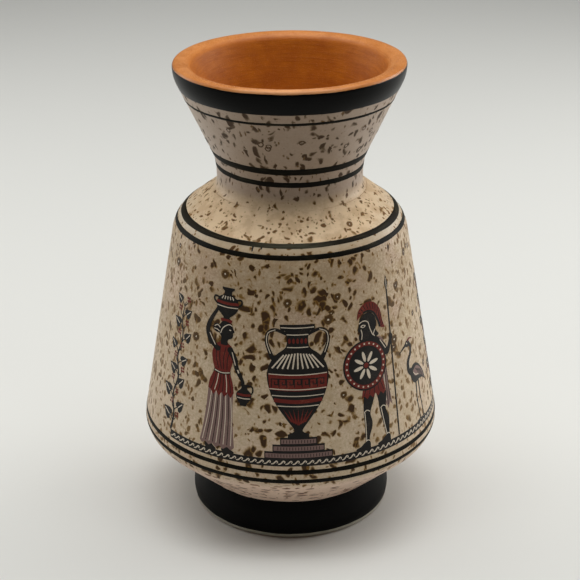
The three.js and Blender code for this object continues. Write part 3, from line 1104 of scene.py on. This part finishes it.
def water_carrier():
    """A woman in a tunic and a long skirt, with a jar on her head and a jug in her hand."""
    p = Picture()
    p.form("black", (-4.6, 0), (-4.9, 1.5), (-3.2, 2.6), (-1.9, 1.4), (-0.7, 0.5), (-0.9, 0))
    p.form("black", (2, 0), (1.8, 1.5), (3.2, 2.6), (4.6, 1.4), (6.2, 0.5), (6, 0))
    hem = [(-7.3, 2), (-6.2, 1.1), (-4.9, 1.9), (-3.5, 1), (-2.1, 1.8), (-0.7, 0.9)]
    hem += [(0.8, 1.7), (2.2, 0.9), (3.7, 1.8), (5.1, 1), (6.3, 2)]
    left = [(-3.3, 28), (-4.9, 22.5), (-5.4, 15), (-6.3, 7), (-7.3, 2)]
    right = [(6.3, 2), (5.3, 9), (4.7, 16), (4.4, 22.5), (3, 28)]
    p.fill("mauve", joined(left, hem, right, [(3, 28)]))
    for k in range(9):
        shade = "black" if k % 2 else "white"
        p.fold(shade, (-3.6 + 0.9 * k, 21.4), (-6.2 + 1.4 * k, 2.4), 0.35)
    left = [(-3.3, 37), (-4.5, 34), (-3.9, 30.5), (-3.2, 28), (-4.7, 24.4), (-5.2, 21.2)]
    zigzag = [(-5.2 + 1.11 * k, 19.2 + (k % 2) * 1.6) for k in range(1, 9)]
    right = [(4.8, 21.2), (4.2, 24.4), (3, 28), (3.5, 31), (3.9, 34), (3, 36.9)]
    neckline = [(3, 36.9), (1.2, 38.2), (-1, 38.4), (-3.3, 37)]
    p.fill("red", joined(left, [(-5.2, 21.2)], zigzag[:1]) + zigzag[1:] + joined(right, neckline))
    for k in range(6):
        p.fold("white" if k in (1, 4) else "black", (-2.3 + 0.92 * k, 27.2), (-4.1 + 1.55 * k, 21), 0.2)
    for start, end in [(-2.9, -1.6), (-1.4, -0.4), (0.8, 0.5), (2.6, 1.7)]:
        p.fold("black", (start, 36.6), (end, 28.8), -0.5)
    p.stroke("black", [(-3.3, 28), (-0.2, 27.4), (3.1, 28)], 0.9)
    p.line("white", (-3, 28.05), (-0.2, 27.5), (2.8, 28.05))

    # Head in profile, with the hair in a net
    p.form(
        "black", (-1.3, 37.4), (-1.2, 39.6), (-2.2, 41.2), (-2.4, 43.4), (-1.2, 45.3), (0.8, 45.7),
        (2.4, 44.7), (2.8, 43.5), (3.5, 42.3), (3, 41.8), (3.1, 41), (2.7, 40), (1.7, 39.5), (1.2, 38.8),
        (1.2, 37.4),
    )
    p.fill("black", oval(-3, 42.6, 1.7, 1.5, -20))
    p.line("white", (-1.7, 41), (-0.9, 43), (1.1, 44.5), (2.6, 44.2))
    p.line("white", (-4.2, 43), (-3, 43.7), (-1.9, 42.9))
    p.line("white", (-4.3, 42.2), (-3.1, 42.1), (-2.1, 41.6))
    p.fill("white", oval(1.9, 42.7, 0.42, 0.2, steps=8))

    # The raised arm, and the lowered one
    raised = [(-2.4, 35.6), (-5.4, 38), (-6.9, 41.2), (-5.9, 44.8), (-3.9, 48.3), (-3.2, 49.6)]
    p.stroke("black", raised, 1.8, 2, 1.7, 1.5, 1.1, 1.2)
    p.fill("black", oval(-2.5, 35.7, 1.15, 1))
    p.line("white", (-3.4, 36.6), (-6, 40.2))
    lowered = [(2.4, 35.9), (4.3, 33), (5.2, 30), (6.6, 27.6), (7.6, 25.9), (7.9, 24.9)]
    p.stroke("black", lowered, 2, 1.9, 1.6, 1.4, 1.1, 1.2)
    p.fill("black", oval(2.4, 35.9, 1.1, 1.1))
    p.line("white", (3.2, 35.3), (4.7, 31))
    p.line("white", (5.6, 29.6), (6.1, 28.5), width=0.5)

    jug = [(1.3, 17.4), (1.1, 18), (2.5, 20), (2.6, 21.8), (1.2, 23.3), (1, 24.2), (1.5, 24.9)]
    p.fill("black", twin(through(jug), 8.4))
    p.stroke("black", [(9.4, 24.6), (11.1, 24.3), (11.4, 22.6), (10.6, 21.4)], 0.5)
    p.line("red", (6, 21.4), (8.4, 21.2), (10.8, 21.4), width=0.8)
    p.line("white", (6.1, 20.2), (8.4, 20), (10.7, 20.2))

    p.stroke("red", [(-1.9, 45.7), (0, 46.1), (2.3, 45.5)], 1.1)
    jar = [(1.5, 46.3), (1.2, 46.9), (3.4, 48.9), (4.2, 51.2), (3.4, 53.4), (1.6, 54.6), (1.4, 55.8)]
    p.fill("black", twin(through(jar) + [(2.3, 56.4), (2.3, 57)], 0.2))
    for side in (-1, 1):
        handle = [(3.3, 53.2), (4.9, 53.4), (5.2, 52.2), (4.1, 51.2)]
        p.stroke("black", [(0.2 + side * x, y) for x, y in handle], 0.6)
    p.line("red", (-3.9, 51.9), (0.2, 51.6), (4.3, 51.9), width=0.9)
    p.line("white", (-3.8, 50.6), (0.2, 50.3), (4.2, 50.6))
    for x in (-2, -0.9, 0.2, 1.3, 2.4):
        p.line("white", (x, 53), (x * 0.75 + 0.05, 54.1), width=0.34)
    return p


def amphora():
    """A great two-handled jar on a stepped plinth."""
    p = Picture()
    for width, low in [(11.6, 0), (8.8, 2.5), (6.2, 5)]:
        p.fill("black", box(-width, low, width, low + 2.5))
        p.fill("mauve", box(0.35 - width, low + 0.3, width - 0.35, low + 1.85))
        for k in range(1 - int(width), int(width)):
            p.line("black", (k, low + 0.5), (k, low + 1.6), width=0.22, steps=1)
    body = [(2.1, 9.2), (1.5, 10.4), (4.4, 14.5), (8.2, 20.5), (10.2, 27), (9.8, 32), (7.4, 36)]
    body += [(4.6, 38.2), (3.7, 39.6), (3.5, 42.2), (4.1, 44.4)]
    p.fill("black", twin([(3.6, 7.5), (3.6, 8.6)] + through(body) + [(5.6, 44.6), (5.8, 46.6)]))
    for side in (-1, 1):
        path = [(3.2, 43.2), (7.2, 44.8), (9.7, 43.6), (10.2, 40.4), (9, 36.6), (8, 34.8)]
        path = [(side * x, y) for x, y in path]
        p.stroke("black", path, 1.1, 1.1, 1.1, 1.2, 1.4, 1.8)
        p.line("white", *path[1:5], width=0.26)

    # Rays over the foot, bands, a key pattern and tongues on the shoulder
    for k in range(-3, 4):
        low = 11.9 + abs(k) * 0.35
        p.fill("red", [(k * 0.68 - 0.42, low), (k * 0.68 + 0.42, low), (k * 1.7, 17.6)])
    p.stroke("red", [(-8.1, 20.6), (0, 20), (8.1, 20.6)], 1.3)
    band = through([(-9.6, 24.2), (0, 23.7), (9.6, 24.2)])
    p.fill("red", band + through([(9.85, 29.8), (0, 29.4), (-9.85, 29.8)]))
    rings = [(6.9, 18.6), (8.7, 22.2), (9.5, 24.5), (9.7, 29.6), (3.5, 38.9), (3.6, 43.2), (5.5, 45.6)]
    for reach, height in rings:
        p.line("white", (-reach, height), (0, height - 0.03 * reach), (reach, height))
    key = [(-1.2, 0), (-1.2, 2.7), (1, 2.7), (1, 0.8), (-0.1, 0.8), (-0.1, 1.7)]
    for k in range(-3, 4):
        places = [(2.55 * k + x, 25.2 + y) for x, y in key]
        for (x0, y0), (x1, y1) in zip(places, places[1:]):
            edge = 0.17
            low, high = (min(x0, x1) - edge, min(y0, y1) - edge), (max(x0, x1) + edge, max(y0, y1) + edge)
            p.fill("black", box(*low, *high))
    for k in range(-5, 6):
        low, high = (1.72 * k, 31.4 + abs(k) * 0.04), (0.92 * k, 36.9 - abs(k) * 0.12)
        p.line("white", low, high, width=0.5, steps=1)
    for k in range(-2, 3):
        p.fill("red", oval(k * 1.35, 41, 0.45, 0.95, steps=10))
    return p


def spearman():
    """A man in a closed helmet, behind his round shield."""
    p = Picture()
    cloak_back = [(1.2, 38), (4.6, 37.4), (6, 34), (5.8, 28), (6.4, 20), (7.4, 12.2)]
    tips = [(7.4, 12.2), (6.3, 13.6), (5.4, 11.4), (4.6, 13.4), (3.7, 11.8)]
    p.fill("mauve", joined(cloak_back) + tips + joined([(2.9, 14), (2.2, 22), (0.8, 30), (1.2, 38)]))
    for start, end in [((3, 36), (3.8, 13)), ((4.2, 36), (5.4, 12.8)), ((5, 34), (6.4, 14.2))]:
        p.fold("black", start, end, 0.3)
    p.fold("white", (3.6, 36), (4.7, 14.4), 0.3)

    # Legs with greaves
    back_leg = [(2.1, 21), (2.9, 16.5), (2.7, 12), (3.7, 8.2), (3.9, 4.6), (4, 1.8)]
    p.stroke("black", back_leg, 4.6, 3.9, 2.6, 3, 2, 1.4)
    front_leg = [(-1.5, 21), (-2.9, 16.8), (-4, 12.4), (-3.7, 8.4), (-4.5, 4.8), (-4.8, 1.8)]
    p.stroke("black", front_leg, 4.8, 4, 2.7, 3.1, 2, 1.4)
    foot = [(4.9, 2.3), (5.1, 0.6), (4.6, 0), (-0.2, 0), (-0.4, 0.6), (1.3, 1.1), (2.9, 2.2)]
    for step in (0, -8.8):
        p.form("black", *[(x + step, y) for x, y in foot])
    for knee, shin, ankle in [((2, 12.6), (2.6, 8.4), (3.6, 2.6)), ((-4.9, 12.8), (-4.9, 8.6), (-5.2, 2.6))]:
        p.line("white", knee, shin, ankle)
        for (x, y), reach, rise in [(knee, 2.4, 0.7), (ankle, 1.6, 0.3)]:
            p.line("white", (x - 0.3, y), (x - 0.3 + reach / 2, y + rise), (x - 0.3 + reach, y))

    hem = [(-5.6 + 1.14 * k, 17.3 + (k % 2) * 1.3) for k in range(1, 9)]
    side = [(4.7, 18.4), (4.3, 21), (3.4, 24.5)]
    p.fill("red", joined([(-3.6, 24.5), (-4.9, 20.4), (-5.6, 17.4)]) + hem + joined(side, [(3.4, 24.5)]))
    for k in range(5):
        p.fold("black", (-2.6 + 1.2 * k, 23), (-4.5 + 2.1 * k, 18.8), 0.1)

    # Trunk, and the arm that holds the spear
    p.form(
        "black", (-3.4, 24), (-4, 30), (-4.6, 35.5), (-3, 38), (0, 38.8), (2.8, 38), (4.3, 35.8), (3.7, 30),
        (3.4, 24),
    )
    arm = [(2.8, 36), (5.4, 33.8), (6.8, 31.2), (8, 32.8), (9.2, 35.4)]
    p.stroke("black", arm, 2.6, 2.2, 1.8, 1.5, 1.1)
    p.fill("black", oval(9.4, 35.9, 0.95, 1.15))
    p.line("white", (4.1, 36.4), (6.4, 32.8))
    p.line("black", (9.4, 0.2), (9.4, 52.2), width=0.6, steps=1)
    p.fill("black", [(9.4, 57.4), (8.6, 54.6), (9.15, 52), (9.65, 52), (10.2, 54.6)])
    p.line("white", (9.4, 56.4), (9.4, 52.6), width=0.24, steps=1)

    # The shield, with a rosette
    x, y = -2.6, 29.2
    for colour, radius, steps in [("black", 8.8, 48), ("red", 8.2, 48), ("black", 6.8, 40)]:
        p.fill(colour, oval(x, y, radius, radius, steps=steps))
    for k in range(8):
        angle = math.pi / 4 * k + 0.2
        petal = (x + 3.2 * math.cos(angle), y + 3.2 * math.sin(angle))
        p.fill("white", oval(*petal, 1.9, 0.62, math.degrees(angle), steps=12))
    p.fill("red", oval(x, y, 0.95, 0.95, steps=12))
    for k in range(24):
        angle = math.pi / 12 * k
        p.fill("white", oval(x + 7.5 * math.cos(angle), y + 7.5 * math.sin(angle), 0.34, 0.34, steps=6))

    # The helmet and its crest
    p.form(
        "black", (-1, 37.6), (-2.4, 37.3), (-4.1, 37.9), (-4.4, 39.6), (-3.9, 40.9), (-4.6, 41.6),
        (-4.1, 43.4), (-3.4, 45.4), (-1.4, 46.9), (1, 46.8), (2.7, 45.2), (3.1, 42.8), (2.6, 40.6),
        (3.8, 38.6), (2, 38),
    )
    p.form("white", (-3.5, 42.8), (-2.6, 43.4), (-1.4, 42.9), (-2.4, 42.3))
    p.form("black", (-3, 42.8), (-2.5, 43.1), (-1.9, 42.85), (-2.4, 42.55))
    p.line("white", (-3.4, 41.9), (-3.1, 40.2), (-3.5, 38.4))
    p.line("white", (-4, 44), (-2.2, 44.6), (-0.4, 43.9), (0.2, 41.6), (1.2, 38.9))
    p.line("white", (2.4, 40.7), (1.5, 39.3), (1.9, 38.4))
    outer = [(-4.6, 45.3), (-3.6, 48.6), (-0.6, 50.6), (2.8, 50), (5.2, 47), (6, 42.8), (7, 40)]
    inner = [(-4.6, 45.3), (-2, 47.4), (0.4, 47.6), (2.6, 46.2), (3.9, 43.6), (4.7, 40.9), (7, 40)]
    p.fill("red", joined(outer, inner[::-1]))
    p.stroke("black", inner[1:6], 0.7)
    for (x0, y0), (x1, y1) in list(zip(through(inner), through(outer)))[4:-3:2]:
        middle = (x0 + (x1 - x0) * 0.25, y0 + (y1 - y0) * 0.25)
        tip = (x0 + (x1 - x0) * 0.88, y0 + (y1 - y0) * 0.88)
        p.line("black", middle, tip, width=0.26, steps=1)
    return p


def crane():
    """A wading bird that looks to the left."""
    p = Picture()
    for hip, knee, foot in [(-0.4, -1.3, -0.6), (1.4, 1.5, 2.4)]:
        p.stroke("black", [(hip, 15), (knee, 7.6), (foot, 0.5)], 1, 0.55, 0.5, steps=1)
        p.fill("black", oval(knee, 7.6, 0.55, 0.6, steps=10))
        toes = [(foot + 0.8, 0.2), (foot, 0.5), (foot - 1.4, 0.25), (foot - 2.6, 0.2)]
        p.stroke("black", toes, 0.35, 0.6, 0.4, 0.25)
    under = [(-3.6, 19.2), (-3.4, 16.4), (-1.2, 14.2), (2.4, 14.2), (5.4, 13.4), (8.2, 11.4)]
    back = [(8.2, 11.4), (7.4, 14.4), (5.4, 17.4), (2.4, 20.2), (-1, 21), (-3.6, 19.2)]
    p.fill("black", joined(under, back))
    under = [(-1.8, 18.8), (-0.6, 16.6), (2.2, 15.8), (5, 14.4), (7, 12.8)]
    p.fill("mauve", joined(under, [(7, 12.8), (6, 15.6), (3.8, 18.2), (1, 19.7), (-1.8, 18.8)]))
    for k in range(5):
        p.fold("black", (0.2 + k * 0.9, 19.1 - k * 0.45), (2.4 + k * 0.95, 15.9 - k * 0.55), 0.25)
    p.line("white", (-1.5, 18.3), (-0.2, 16.9), (2.2, 16.1))
    neck = [(-2.2, 18.6), (-4.4, 20.4), (-4.2, 23.4), (-2, 25.6), (-1.4, 28.2), (-2.8, 29.8)]
    p.stroke("black", neck, 3.2, 2.1, 1.5, 1.3, 1.3, 1.5)
    p.fill("black", oval(-3.2, 29.7, 1.5, 1.15, 10))
    p.stroke("black", [(-4.2, 29.7), (-6.6, 28.9), (-8.8, 27.9)], 1.1, 0.6, 0.15)
    p.stroke("red", [(-2.9, 30.6), (-1.2, 31), (0.6, 30.4)], 0.9, 0.6, 0.2)
    p.fill("white", oval(-3.5, 29.9, 0.32, 0.32, steps=8))
    p.line("white", (-3.6, 20.6), (-3.5, 22.6), (-1.9, 24.7))
    return p


def ivy_stem():
    """The stalk of a climbing plant. Its leaves and berries are set on it later."""
    p = Picture()
    p.stroke("black", IVY_STALK, 1, 0.9, 0.8, 0.8, 0.7, 0.6, 0.5, 0.35)
    for x, y, side in ivy_nodes():
        leaf_stalk = [(x, y), (x + side * 1.2, y + 1.3), (x + side * 2.3, y + 1.7)]
        berry_stalk = [(x, y + 0.4), (x - side * 1.1, y + 1.2), (x - side * 1.5, y + 2.2)]
        p.stroke("black", leaf_stalk, 0.45, 0.35, 0.3)
        p.stroke("black", berry_stalk, 0.35, 0.3, 0.25)
    return p


def ivy_nodes():
    """The places along the stalk where leaves grow, and their side."""
    stalk = through(IVY_STALK)
    return [(*stalk[i], 1 if k % 2 else -1) for k, i in enumerate(range(3, len(stalk) - 1, 3))]


def ground_strip(start, end):
    p = Picture()
    p.fill("black", box(start, -STRIP_DEPTH, end, 0))
    return p


# The frieze laid on the coat


# Where pictures are, for the pits to keep clear of: angle, reach to each side, and top
printed_areas = []
PITS_CLEARANCE = 2


def coat_frame(height):
    """At a height on the coat: its radius, the way up along it, and the way out of it."""
    up = way_up(height, 0.2)
    return at_height(finished, height)[0], up, (up[1], -up[0])


def turned_to(angle, radius, height):
    """A point or a direction in the vase's section, turned to an angle from the front."""
    return Vector((radius * math.sin(angle), -radius * math.cos(angle), height))


def height_on_wall(y):
    return GROUND_HEIGHT + y * wall_slope


def on_coat(centre, x, y, level):
    """A point of a flat picture laid round the coat, in metres."""
    height = height_on_wall(y)
    radius, _, out = coat_frame(height)
    return turned_to(centre + x / radius, radius + out[0] * level, height + out[1] * level) * MM


def slab(flat, points, faces, flip, top):
    """A closed film over the faces, from inside the coat up to a level."""
    if flip < 0:
        faces = [face[::-1] for face in faces]
    upper = [flat.verts.new((flip * x, y, top)) for x, y in points]
    lower = [flat.verts.new((flip * x, y, -PRINT_SUNK)) for x, y in points]
    edges = {(a, b) for face in faces for a, b in zip(face, face[1:] + face[:1])}
    for face in faces:
        flat.faces.new([upper[i] for i in face])
        flat.faces.new([lower[i] for i in face[::-1]])
    for a, b in edges:
        if (b, a) not in edges:
            flat.faces.new((upper[b], upper[a], lower[a], lower[b]))


def mesh_of(flat, name):
    mesh = bpy.data.meshes.new(name)
    flat.to_mesh(mesh)
    flat.free()
    return mesh


def printed(name, picture, colour, centre, flip=1):
    """The shapes of one colour of a picture, laid round the coat at an angle from the front."""
    flat = bmesh.new()
    for (shade, points, faces), level in zip(picture.shapes, picture.levels()):
        if shade == colour:
            slab(flat, points, faces, flip, PRINT_BASE + PRINT_LAYER * level)
    if not flat.verts:
        flat.free()
        return
    count = int(max(abs(v.co.x) for v in flat.verts) / PRINT_CUT)
    for k in range(-count, count + 1):
        off_the_middle = (k + 0.37) * PRINT_CUT
        cut = {"plane_co": (off_the_middle, 0, 0), "plane_no": (1, 0, 0), "dist": 1e-4}
        bmesh.ops.bisect_plane(flat, geom=flat.verts[:] + flat.edges[:] + flat.faces[:], **cut)
    bmesh.ops.triangulate(flat, faces=flat.faces[:])
    for vert in flat.verts:
        vert.co = on_coat(math.radians(centre), *vert.co)
    mesh = mesh_of(flat, name)
    mesh.materials.append(PRINT_MATERIALS[colour])
    fitted(in_scene(name, mesh))


def print_picture(name, picture, centre, flip=1):
    for colour in PRINT_MATERIALS:
        printed(f"{name}_{colour}", picture, colour, centre, flip)
    corners = [point for _, points, _ in picture.shapes for point in points]
    reach = max(abs(x) for x, _ in corners) / coat_frame(GROUND_HEIGHT)[0]
    top = height_on_wall(max(y for _, y in corners)) + PITS_CLEARANCE
    angle = math.radians(centre)
    printed_areas.append(((angle + math.pi) % (2 * math.pi) - math.pi, reach, top))


def line_drips():
    """Two short runs of paint under the front of the inner shoulder line."""
    for name, angle, top, reach in [("left_drip", -19, 112.6, 1.9), ("right_drip", -14.5, 112.4, 0.9)]:
        p = Picture()
        y = (top - GROUND_HEIGHT) / wall_slope
        path = [(0, y), (0.1, y - reach * 0.4), (0.05, y - reach * 0.75), (0.1, y - reach)]
        p.stroke("black", path, 1.3, 0.6, 0.5, 0.5)
        printed(name, p, "black", angle)


# One tree of geometry nodes sets a small shape on many places of the coat


def planting_tree():
    """Sets a shape on every given place, turned the way that the place's out and aim say."""
    n = ShapeNodes("Planting", [
        ("Places", "Geometry"),
        ("Shape", "Object"),
        ("Size Spread", "Float"),
        ("Turn Spread", "Float"),
        ("Seed", "Int"),
    ])
    given = n.given

    def at_random(spread, seed):
        named = {"Min": spread * -1.0, "Max": spread, "Seed": seed}
        return n.add("FunctionNodeRandomValue", named=named, data_type="FLOAT")

    named = {"Vector": n.stored("out", "FLOAT_VECTOR")}
    stood = n.add("FunctionNodeAlignRotationToVector", named=named, axis="Z")
    named = {"Rotation": stood, "Vector": n.stored("aim", "FLOAT_VECTOR")}
    aimed = n.add("FunctionNodeAlignRotationToVector", named=named, axis="Y", pivot_axis="Z")
    turn = n.add("ShaderNodeCombineXYZ", 0.0, 0.0, at_random(given["Turn Spread"], given["Seed"]))
    named = {"Rotation": aimed, "Rotate By": n.add("FunctionNodeEulerToRotation", turn)}
    aimed = n.add("FunctionNodeRotateRotation", named=named, rotation_space="LOCAL")
    spread = at_random(given["Size Spread"], given["Seed"] + 1) + 1.0
    size = n.stored("size", "FLOAT") * spread
    shape = n.add("GeometryNodeObjectInfo", given["Shape"], out="Geometry")
    named = {"Points": given["Places"], "Instance": shape, "Rotation": aimed, "Scale": size}
    return n.finish(n.add("GeometryNodeInstanceOnPoints", named=named))


PLANTING = planting_tree()


def planted(name, places, shape, material, size_spread=0.0, turn_spread=0.0, seed=0):
    """Plants a shape. A place holds its point, the ways aim and out, and its size."""
    points, aims, outs, place_sizes = zip(*places)
    marks = {"aim": aims, "out": outs, "size": place_sizes}
    inputs = {
        "Shape": shape,
        "Size Spread": size_spread,
        "Turn Spread": turn_spread,
        "Seed": seed,
        "Material": material,
    }
    fitted(grown(name, PLANTING, points, [], marks, inputs))
    bpy.data.objects.remove(shape)


def seated(angle, height, aim, size):
    """A place on the coat, for planting. The aim is given as parts to the right and upwards."""
    radius, up, out = coat_frame(height)
    right = Vector((math.cos(angle), math.sin(angle), 0))
    way = right * aim[0] + turned_to(angle, *up) * aim[1]
    return (turned_to(angle, radius, height) * MM, way.normalized(), turned_to(angle, *out), size)


def seated_on_picture(centre, x, y, aim=(0, 1), size=1.0):
    height = height_on_wall(y)
    return seated(math.radians(centre) + x / coat_frame(height)[0], height, aim, size)


def small_film(name, points, thickness, faces=None):
    """A small closed film around the origin, to be planted. It points along Y."""
    flat = bmesh.new()
    slab(flat, points, faces or triangles_of(points), 1, thickness)
    flat.transform(Matrix.Scale(MM, 4))
    return in_scene(name, mesh_of(flat, name))


def small_stroke(name, *stroke, **steps):
    """A small film in the shape of one brush stroke."""
    p = Picture()
    p.stroke("white", *stroke, **steps)
    _, points, faces = p.shapes[0]
    return small_film(name, points, 0.1, faces)


def ivy(name, centres):
    """Heart-shaped leaves with pale veins on one side of the stalk, and berries on the other."""
    leaf = [(0, 0), (1, -0.7), (1.9, -0.1), (1.7, 1.3), (0.8, 2.5), (0, 3.7)]
    leaf += [(-x, y) for x, y in leaf[-2:0:-1]]
    leaves, berries = [], []
    for centre in centres:
        for k, (x, y, side) in enumerate(ivy_nodes()):
            aim, size = (side, 0.75), 1.15 - 0.03 * k
            leaves.append(seated_on_picture(centre, x + side * 2.2, y + 1.65, aim, size))
            for u, v in [(0, 0), (1, 0.1), (-0.2, 1), (0.8, 1.1)]:
                berries.append(seated_on_picture(centre, x - side * (1.5 + u), y + 2.5 + v))
    black, white, red = (PRINT_MATERIALS[colour] for colour in ("black", "white", "red"))
    planted(name + "_leaves", leaves, small_film("leaf", leaf, 0.07), black, 0.1, 0.2, 3)
    vein = small_stroke("vein", [(0, 0.1), (0, 2.9)], 0.3, steps=1)
    planted(name + "_veins", leaves, vein, white, 0.1, 0.2, 3)
    berry = small_film("berry", oval(0, 0, 0.42, 0.42, steps=8), 0.07)
    planted(name + "_berries", berries, berry, red, 0.15, 0.0, 5)


def strip_pattern(name, centre, start, end):
    """A running wave along the ground strip."""
    crest = [(-1.2, -0.55), (-0.5, -0.45), (0.1, 0.1), (0.6, 0.55), (1.05, 0.2), (0.75, -0.2)]
    wave = small_stroke("wave", crest, 0.3, 0.36, 0.42, 0.38, 0.32, 0.26, steps=2)
    count = int((end - start) / WAVE_PITCH)
    pitch = (end - start) / count
    middle = -STRIP_DEPTH / 2
    places = [seated_on_picture(centre, start + (k + 0.5) * pitch, middle) for k in range(count)]
    planted(name, places, wave, PRINT_MATERIALS["white"], 0.03, 0.04, 1)


def frieze():
    """Each picture: its drawing, its angle from the front in degrees, and its mirroring."""
    rows = [
        ("carrier", water_carrier(), -29, 1),
        ("amphora", amphora(), 3, 1),
        ("spearman", spearman(), 36, 1),
        ("front_crane", crane(), 63, 1),
        ("left_ivy", ivy_stem(), -54, 1),
        ("right_ivy", ivy_stem(), 86, 1),
        ("back_amphora", amphora(), 180, 1),
        ("left_crane", crane(), 152, -1),
        ("right_crane", crane(), 208, 1),
    ]
    for row in rows:
        print_picture(*row)
    for name, centre, start, end in [("front_strip", 14, -61, 66), ("back_strip", 180, -36, 36)]:
        print_picture(name, ground_strip(start, end), centre)
        strip_pattern(name + "_pattern", centre, start + 0.6, end - 0.6)
    ivy("ivy", (-54, 86))


# Pits that gases left in the glaze as it was fired


# Radius, height over the coat and halo of each ring of points. A halo of 1 is white, 0.5 brown, 0 none.
BLOTTED_PIT = [
    (0.0, 0.0, 1.1), (0.14, 0.01, 1.0), (0.28, 0.06, 0.7), (0.42, 0.055, 0.6), (0.7, 0.02, 0.5),
    (1.1, 0.018, 0.28), (1.5, 0.012, 0.04), (1.8, -0.05, 0.0),
]
RINGED_PIT = [
    (0.0, 0.015, 0.0), (0.35, 0.02, 0.05), (0.6, 0.06, 0.5), (0.75, 0.055, 0.5), (1.0, 0.015, 0.05),
    (1.3, -0.04, 0.0),
]
PIT_UNDERSIDE = (0, 0, -0.14)

# How far the coat falls away beside a pit, for each square millimetre
PIT_CURVE = 0.0125


def pit_shape(rows):
    """A low closed mound with a dip in it, bent to the coat's curve."""
    steps = 16
    points = [(0, 0, rows[0][1])]
    halos = [rows[0][2]]
    for radius, height, halo in rows[1:]:
        for k in range(steps):
            angle = 2 * math.pi * k / steps
            uneven = 1 + 0.1 * math.sin(2 * angle + 1) + 0.06 * math.sin(3 * angle)
            x, y = radius * uneven * math.cos(angle), radius * uneven * 1.2 * math.sin(angle)
            points.append((x, y, height - PIT_CURVE * x * x))
            halos.append(halo)
    points.append(PIT_UNDERSIDE)
    halos.append(0.0)
    last = 1 + (len(rows) - 2) * steps
    faces = []
    for k in range(steps):
        after = (k + 1) % steps
        faces.append((0, 1 + k, 1 + after))
        for a in range(1, last, steps):
            b = a + steps
            faces.append((a + k, b + k, b + after, a + after))
        faces.append((last + k, len(points) - 1, last + after))
    mesh = bpy.data.meshes.new("pit")
    mesh.from_pydata([tuple(part * MM for part in point) for point in points], [], faces)
    add_mark(mesh, "halo", halos)
    return in_scene("pit", mesh)


def glaze_pits():
    """Pits scattered over the neck, the shoulder and the wall, clear of the pictures.

    Each kind of pit has its zones: the lowest and highest place, and how many are tried there.
    """
    rng = random.Random(11)
    rows = [
        ("ringed_pits", RINGED_PIT, [(138, 151, 34)]),
        ("blotted_pits", BLOTTED_PIT, [(114.5, 118, 6), (43, 105, 90)]),
    ]
    for name, rings, zones in rows:
        places = []
        for low, high, count in zones:
            for _ in range(count):
                angle, height = rng.uniform(-math.pi, math.pi), rng.uniform(low, high)
                size = rng.uniform(0.8, 1.4)
                if not any(abs(angle - a) < reach and height < top for a, reach, top in printed_areas):
                    places.append(seated(angle, height, (0, 1), size))
        planted(name, places, pit_shape(rings), glaze, 0.1, 0.1, 7)


foot()
body()
neck()
glaze_coat()
painted_lines()
line_drips()
frieze()
glaze_pits()


# Floor, light and camera


def studio_paper():
    material, n = new_material("studio_paper")
    # Painted shade: the sheet a little darker further behind the vase
    behind = n.ramp(n.along("Y"), 20, 120)
    n.finish(n.blend(behind, srgb(222, 222, 217), srgb(217, 217, 212)), 0.9, None, 0.1)
    return material


def stage():
    """A pale sheet that lies under the vase and rises far behind it. Sizes are in metres."""
    half_width, front, back, rise, bend = 3.0, -2.0, 2.2, 2.5, 0.8
    steps = 12
    profile = [(front, 0.0), (back - bend, 0.0)]
    for k in range(1, steps + 1):
        angle = math.pi / 2 * k / steps
        profile.append((back - bend + bend * math.sin(angle), bend - bend * math.cos(angle)))
    profile.append((back, rise))
    points = [(x, y, z) for y, z in profile for x in (-half_width, half_width)]
    faces = [(2 * i, 2 * i + 1, 2 * i + 3, 2 * i + 2) for i in range(len(profile) - 1)]
    mesh = bpy.data.meshes.new("studio_sheet")
    mesh.from_pydata(points, [], faces)
    mesh.materials.append(studio_paper())
    mesh.shade_smooth()
    in_scene("studio_sheet", mesh)


LAMPS_AIM = (0, 0, 0.09)


def softbox(name, place, size, power, spread=180):
    """A flat lamp aimed at the vase. A spread under 180 degrees keeps its light off the floor near it."""
    light = bpy.data.lights.new(name, "AREA")
    light.spread = math.radians(spread)
    light.shape = "RECTANGLE"
    light.size, light.size_y = size
    light.energy = power
    lamp = in_scene(name, light)
    lamp.location = place
    towards = Vector(LAMPS_AIM) - Vector(place)
    lamp.rotation_euler = towards.to_track_quat("-Z", "Y").to_euler()


def lights():
    softbox("left_softbox", (-0.75, 0.3, 0.3), (0.6, 0.5), 1.1, 120)
    softbox("right_softbox", (0.75, 0.3, 0.3), (0.6, 0.5), 1.86, 120)
    softbox("top_softbox", (0, 0.1, 1.0), (1.4, 1.1), 10.3)
    softbox("front_strip_light", (0, -0.17, 1.0), (1.1, 0.14), 1.5)
    world = bpy.data.worlds.new("studio_air")
    bpy.context.scene.world = world
    world.use_nodes = True
    air = world.node_tree.nodes["Background"]
    air.inputs["Color"].default_value = (1.0, 0.99, 0.97, 1.0)
    air.inputs["Strength"].default_value = 0.06


# The photograph's view: half a metre off, looking down. Degrees, metres, and the lens in millimetres.
CAMERA_PLACE = (-0.00009, -0.5129, 0.3110)
CAMERA_DOWN = 24.19
CAMERA_ROLL = -0.183
CAMERA_LENS = 98.65


def camera():
    lens = bpy.data.cameras.new("camera")
    lens.sensor_width = 36
    lens.lens = CAMERA_LENS
    lens.clip_start = 0.05
    lens.clip_end = 20
    view = in_scene("camera", lens)
    view.location = CAMERA_PLACE
    tilt = Euler((math.radians(90 - CAMERA_DOWN), 0, 0)).to_quaternion()
    roll = Euler((0, 0, math.radians(CAMERA_ROLL))).to_quaternion()
    view.rotation_mode = "QUATERNION"
    view.rotation_quaternion = tilt @ roll
    bpy.context.scene.camera = view


stage()
lights()
camera()
bpy.context.scene.view_settings.view_transform = "Standard"
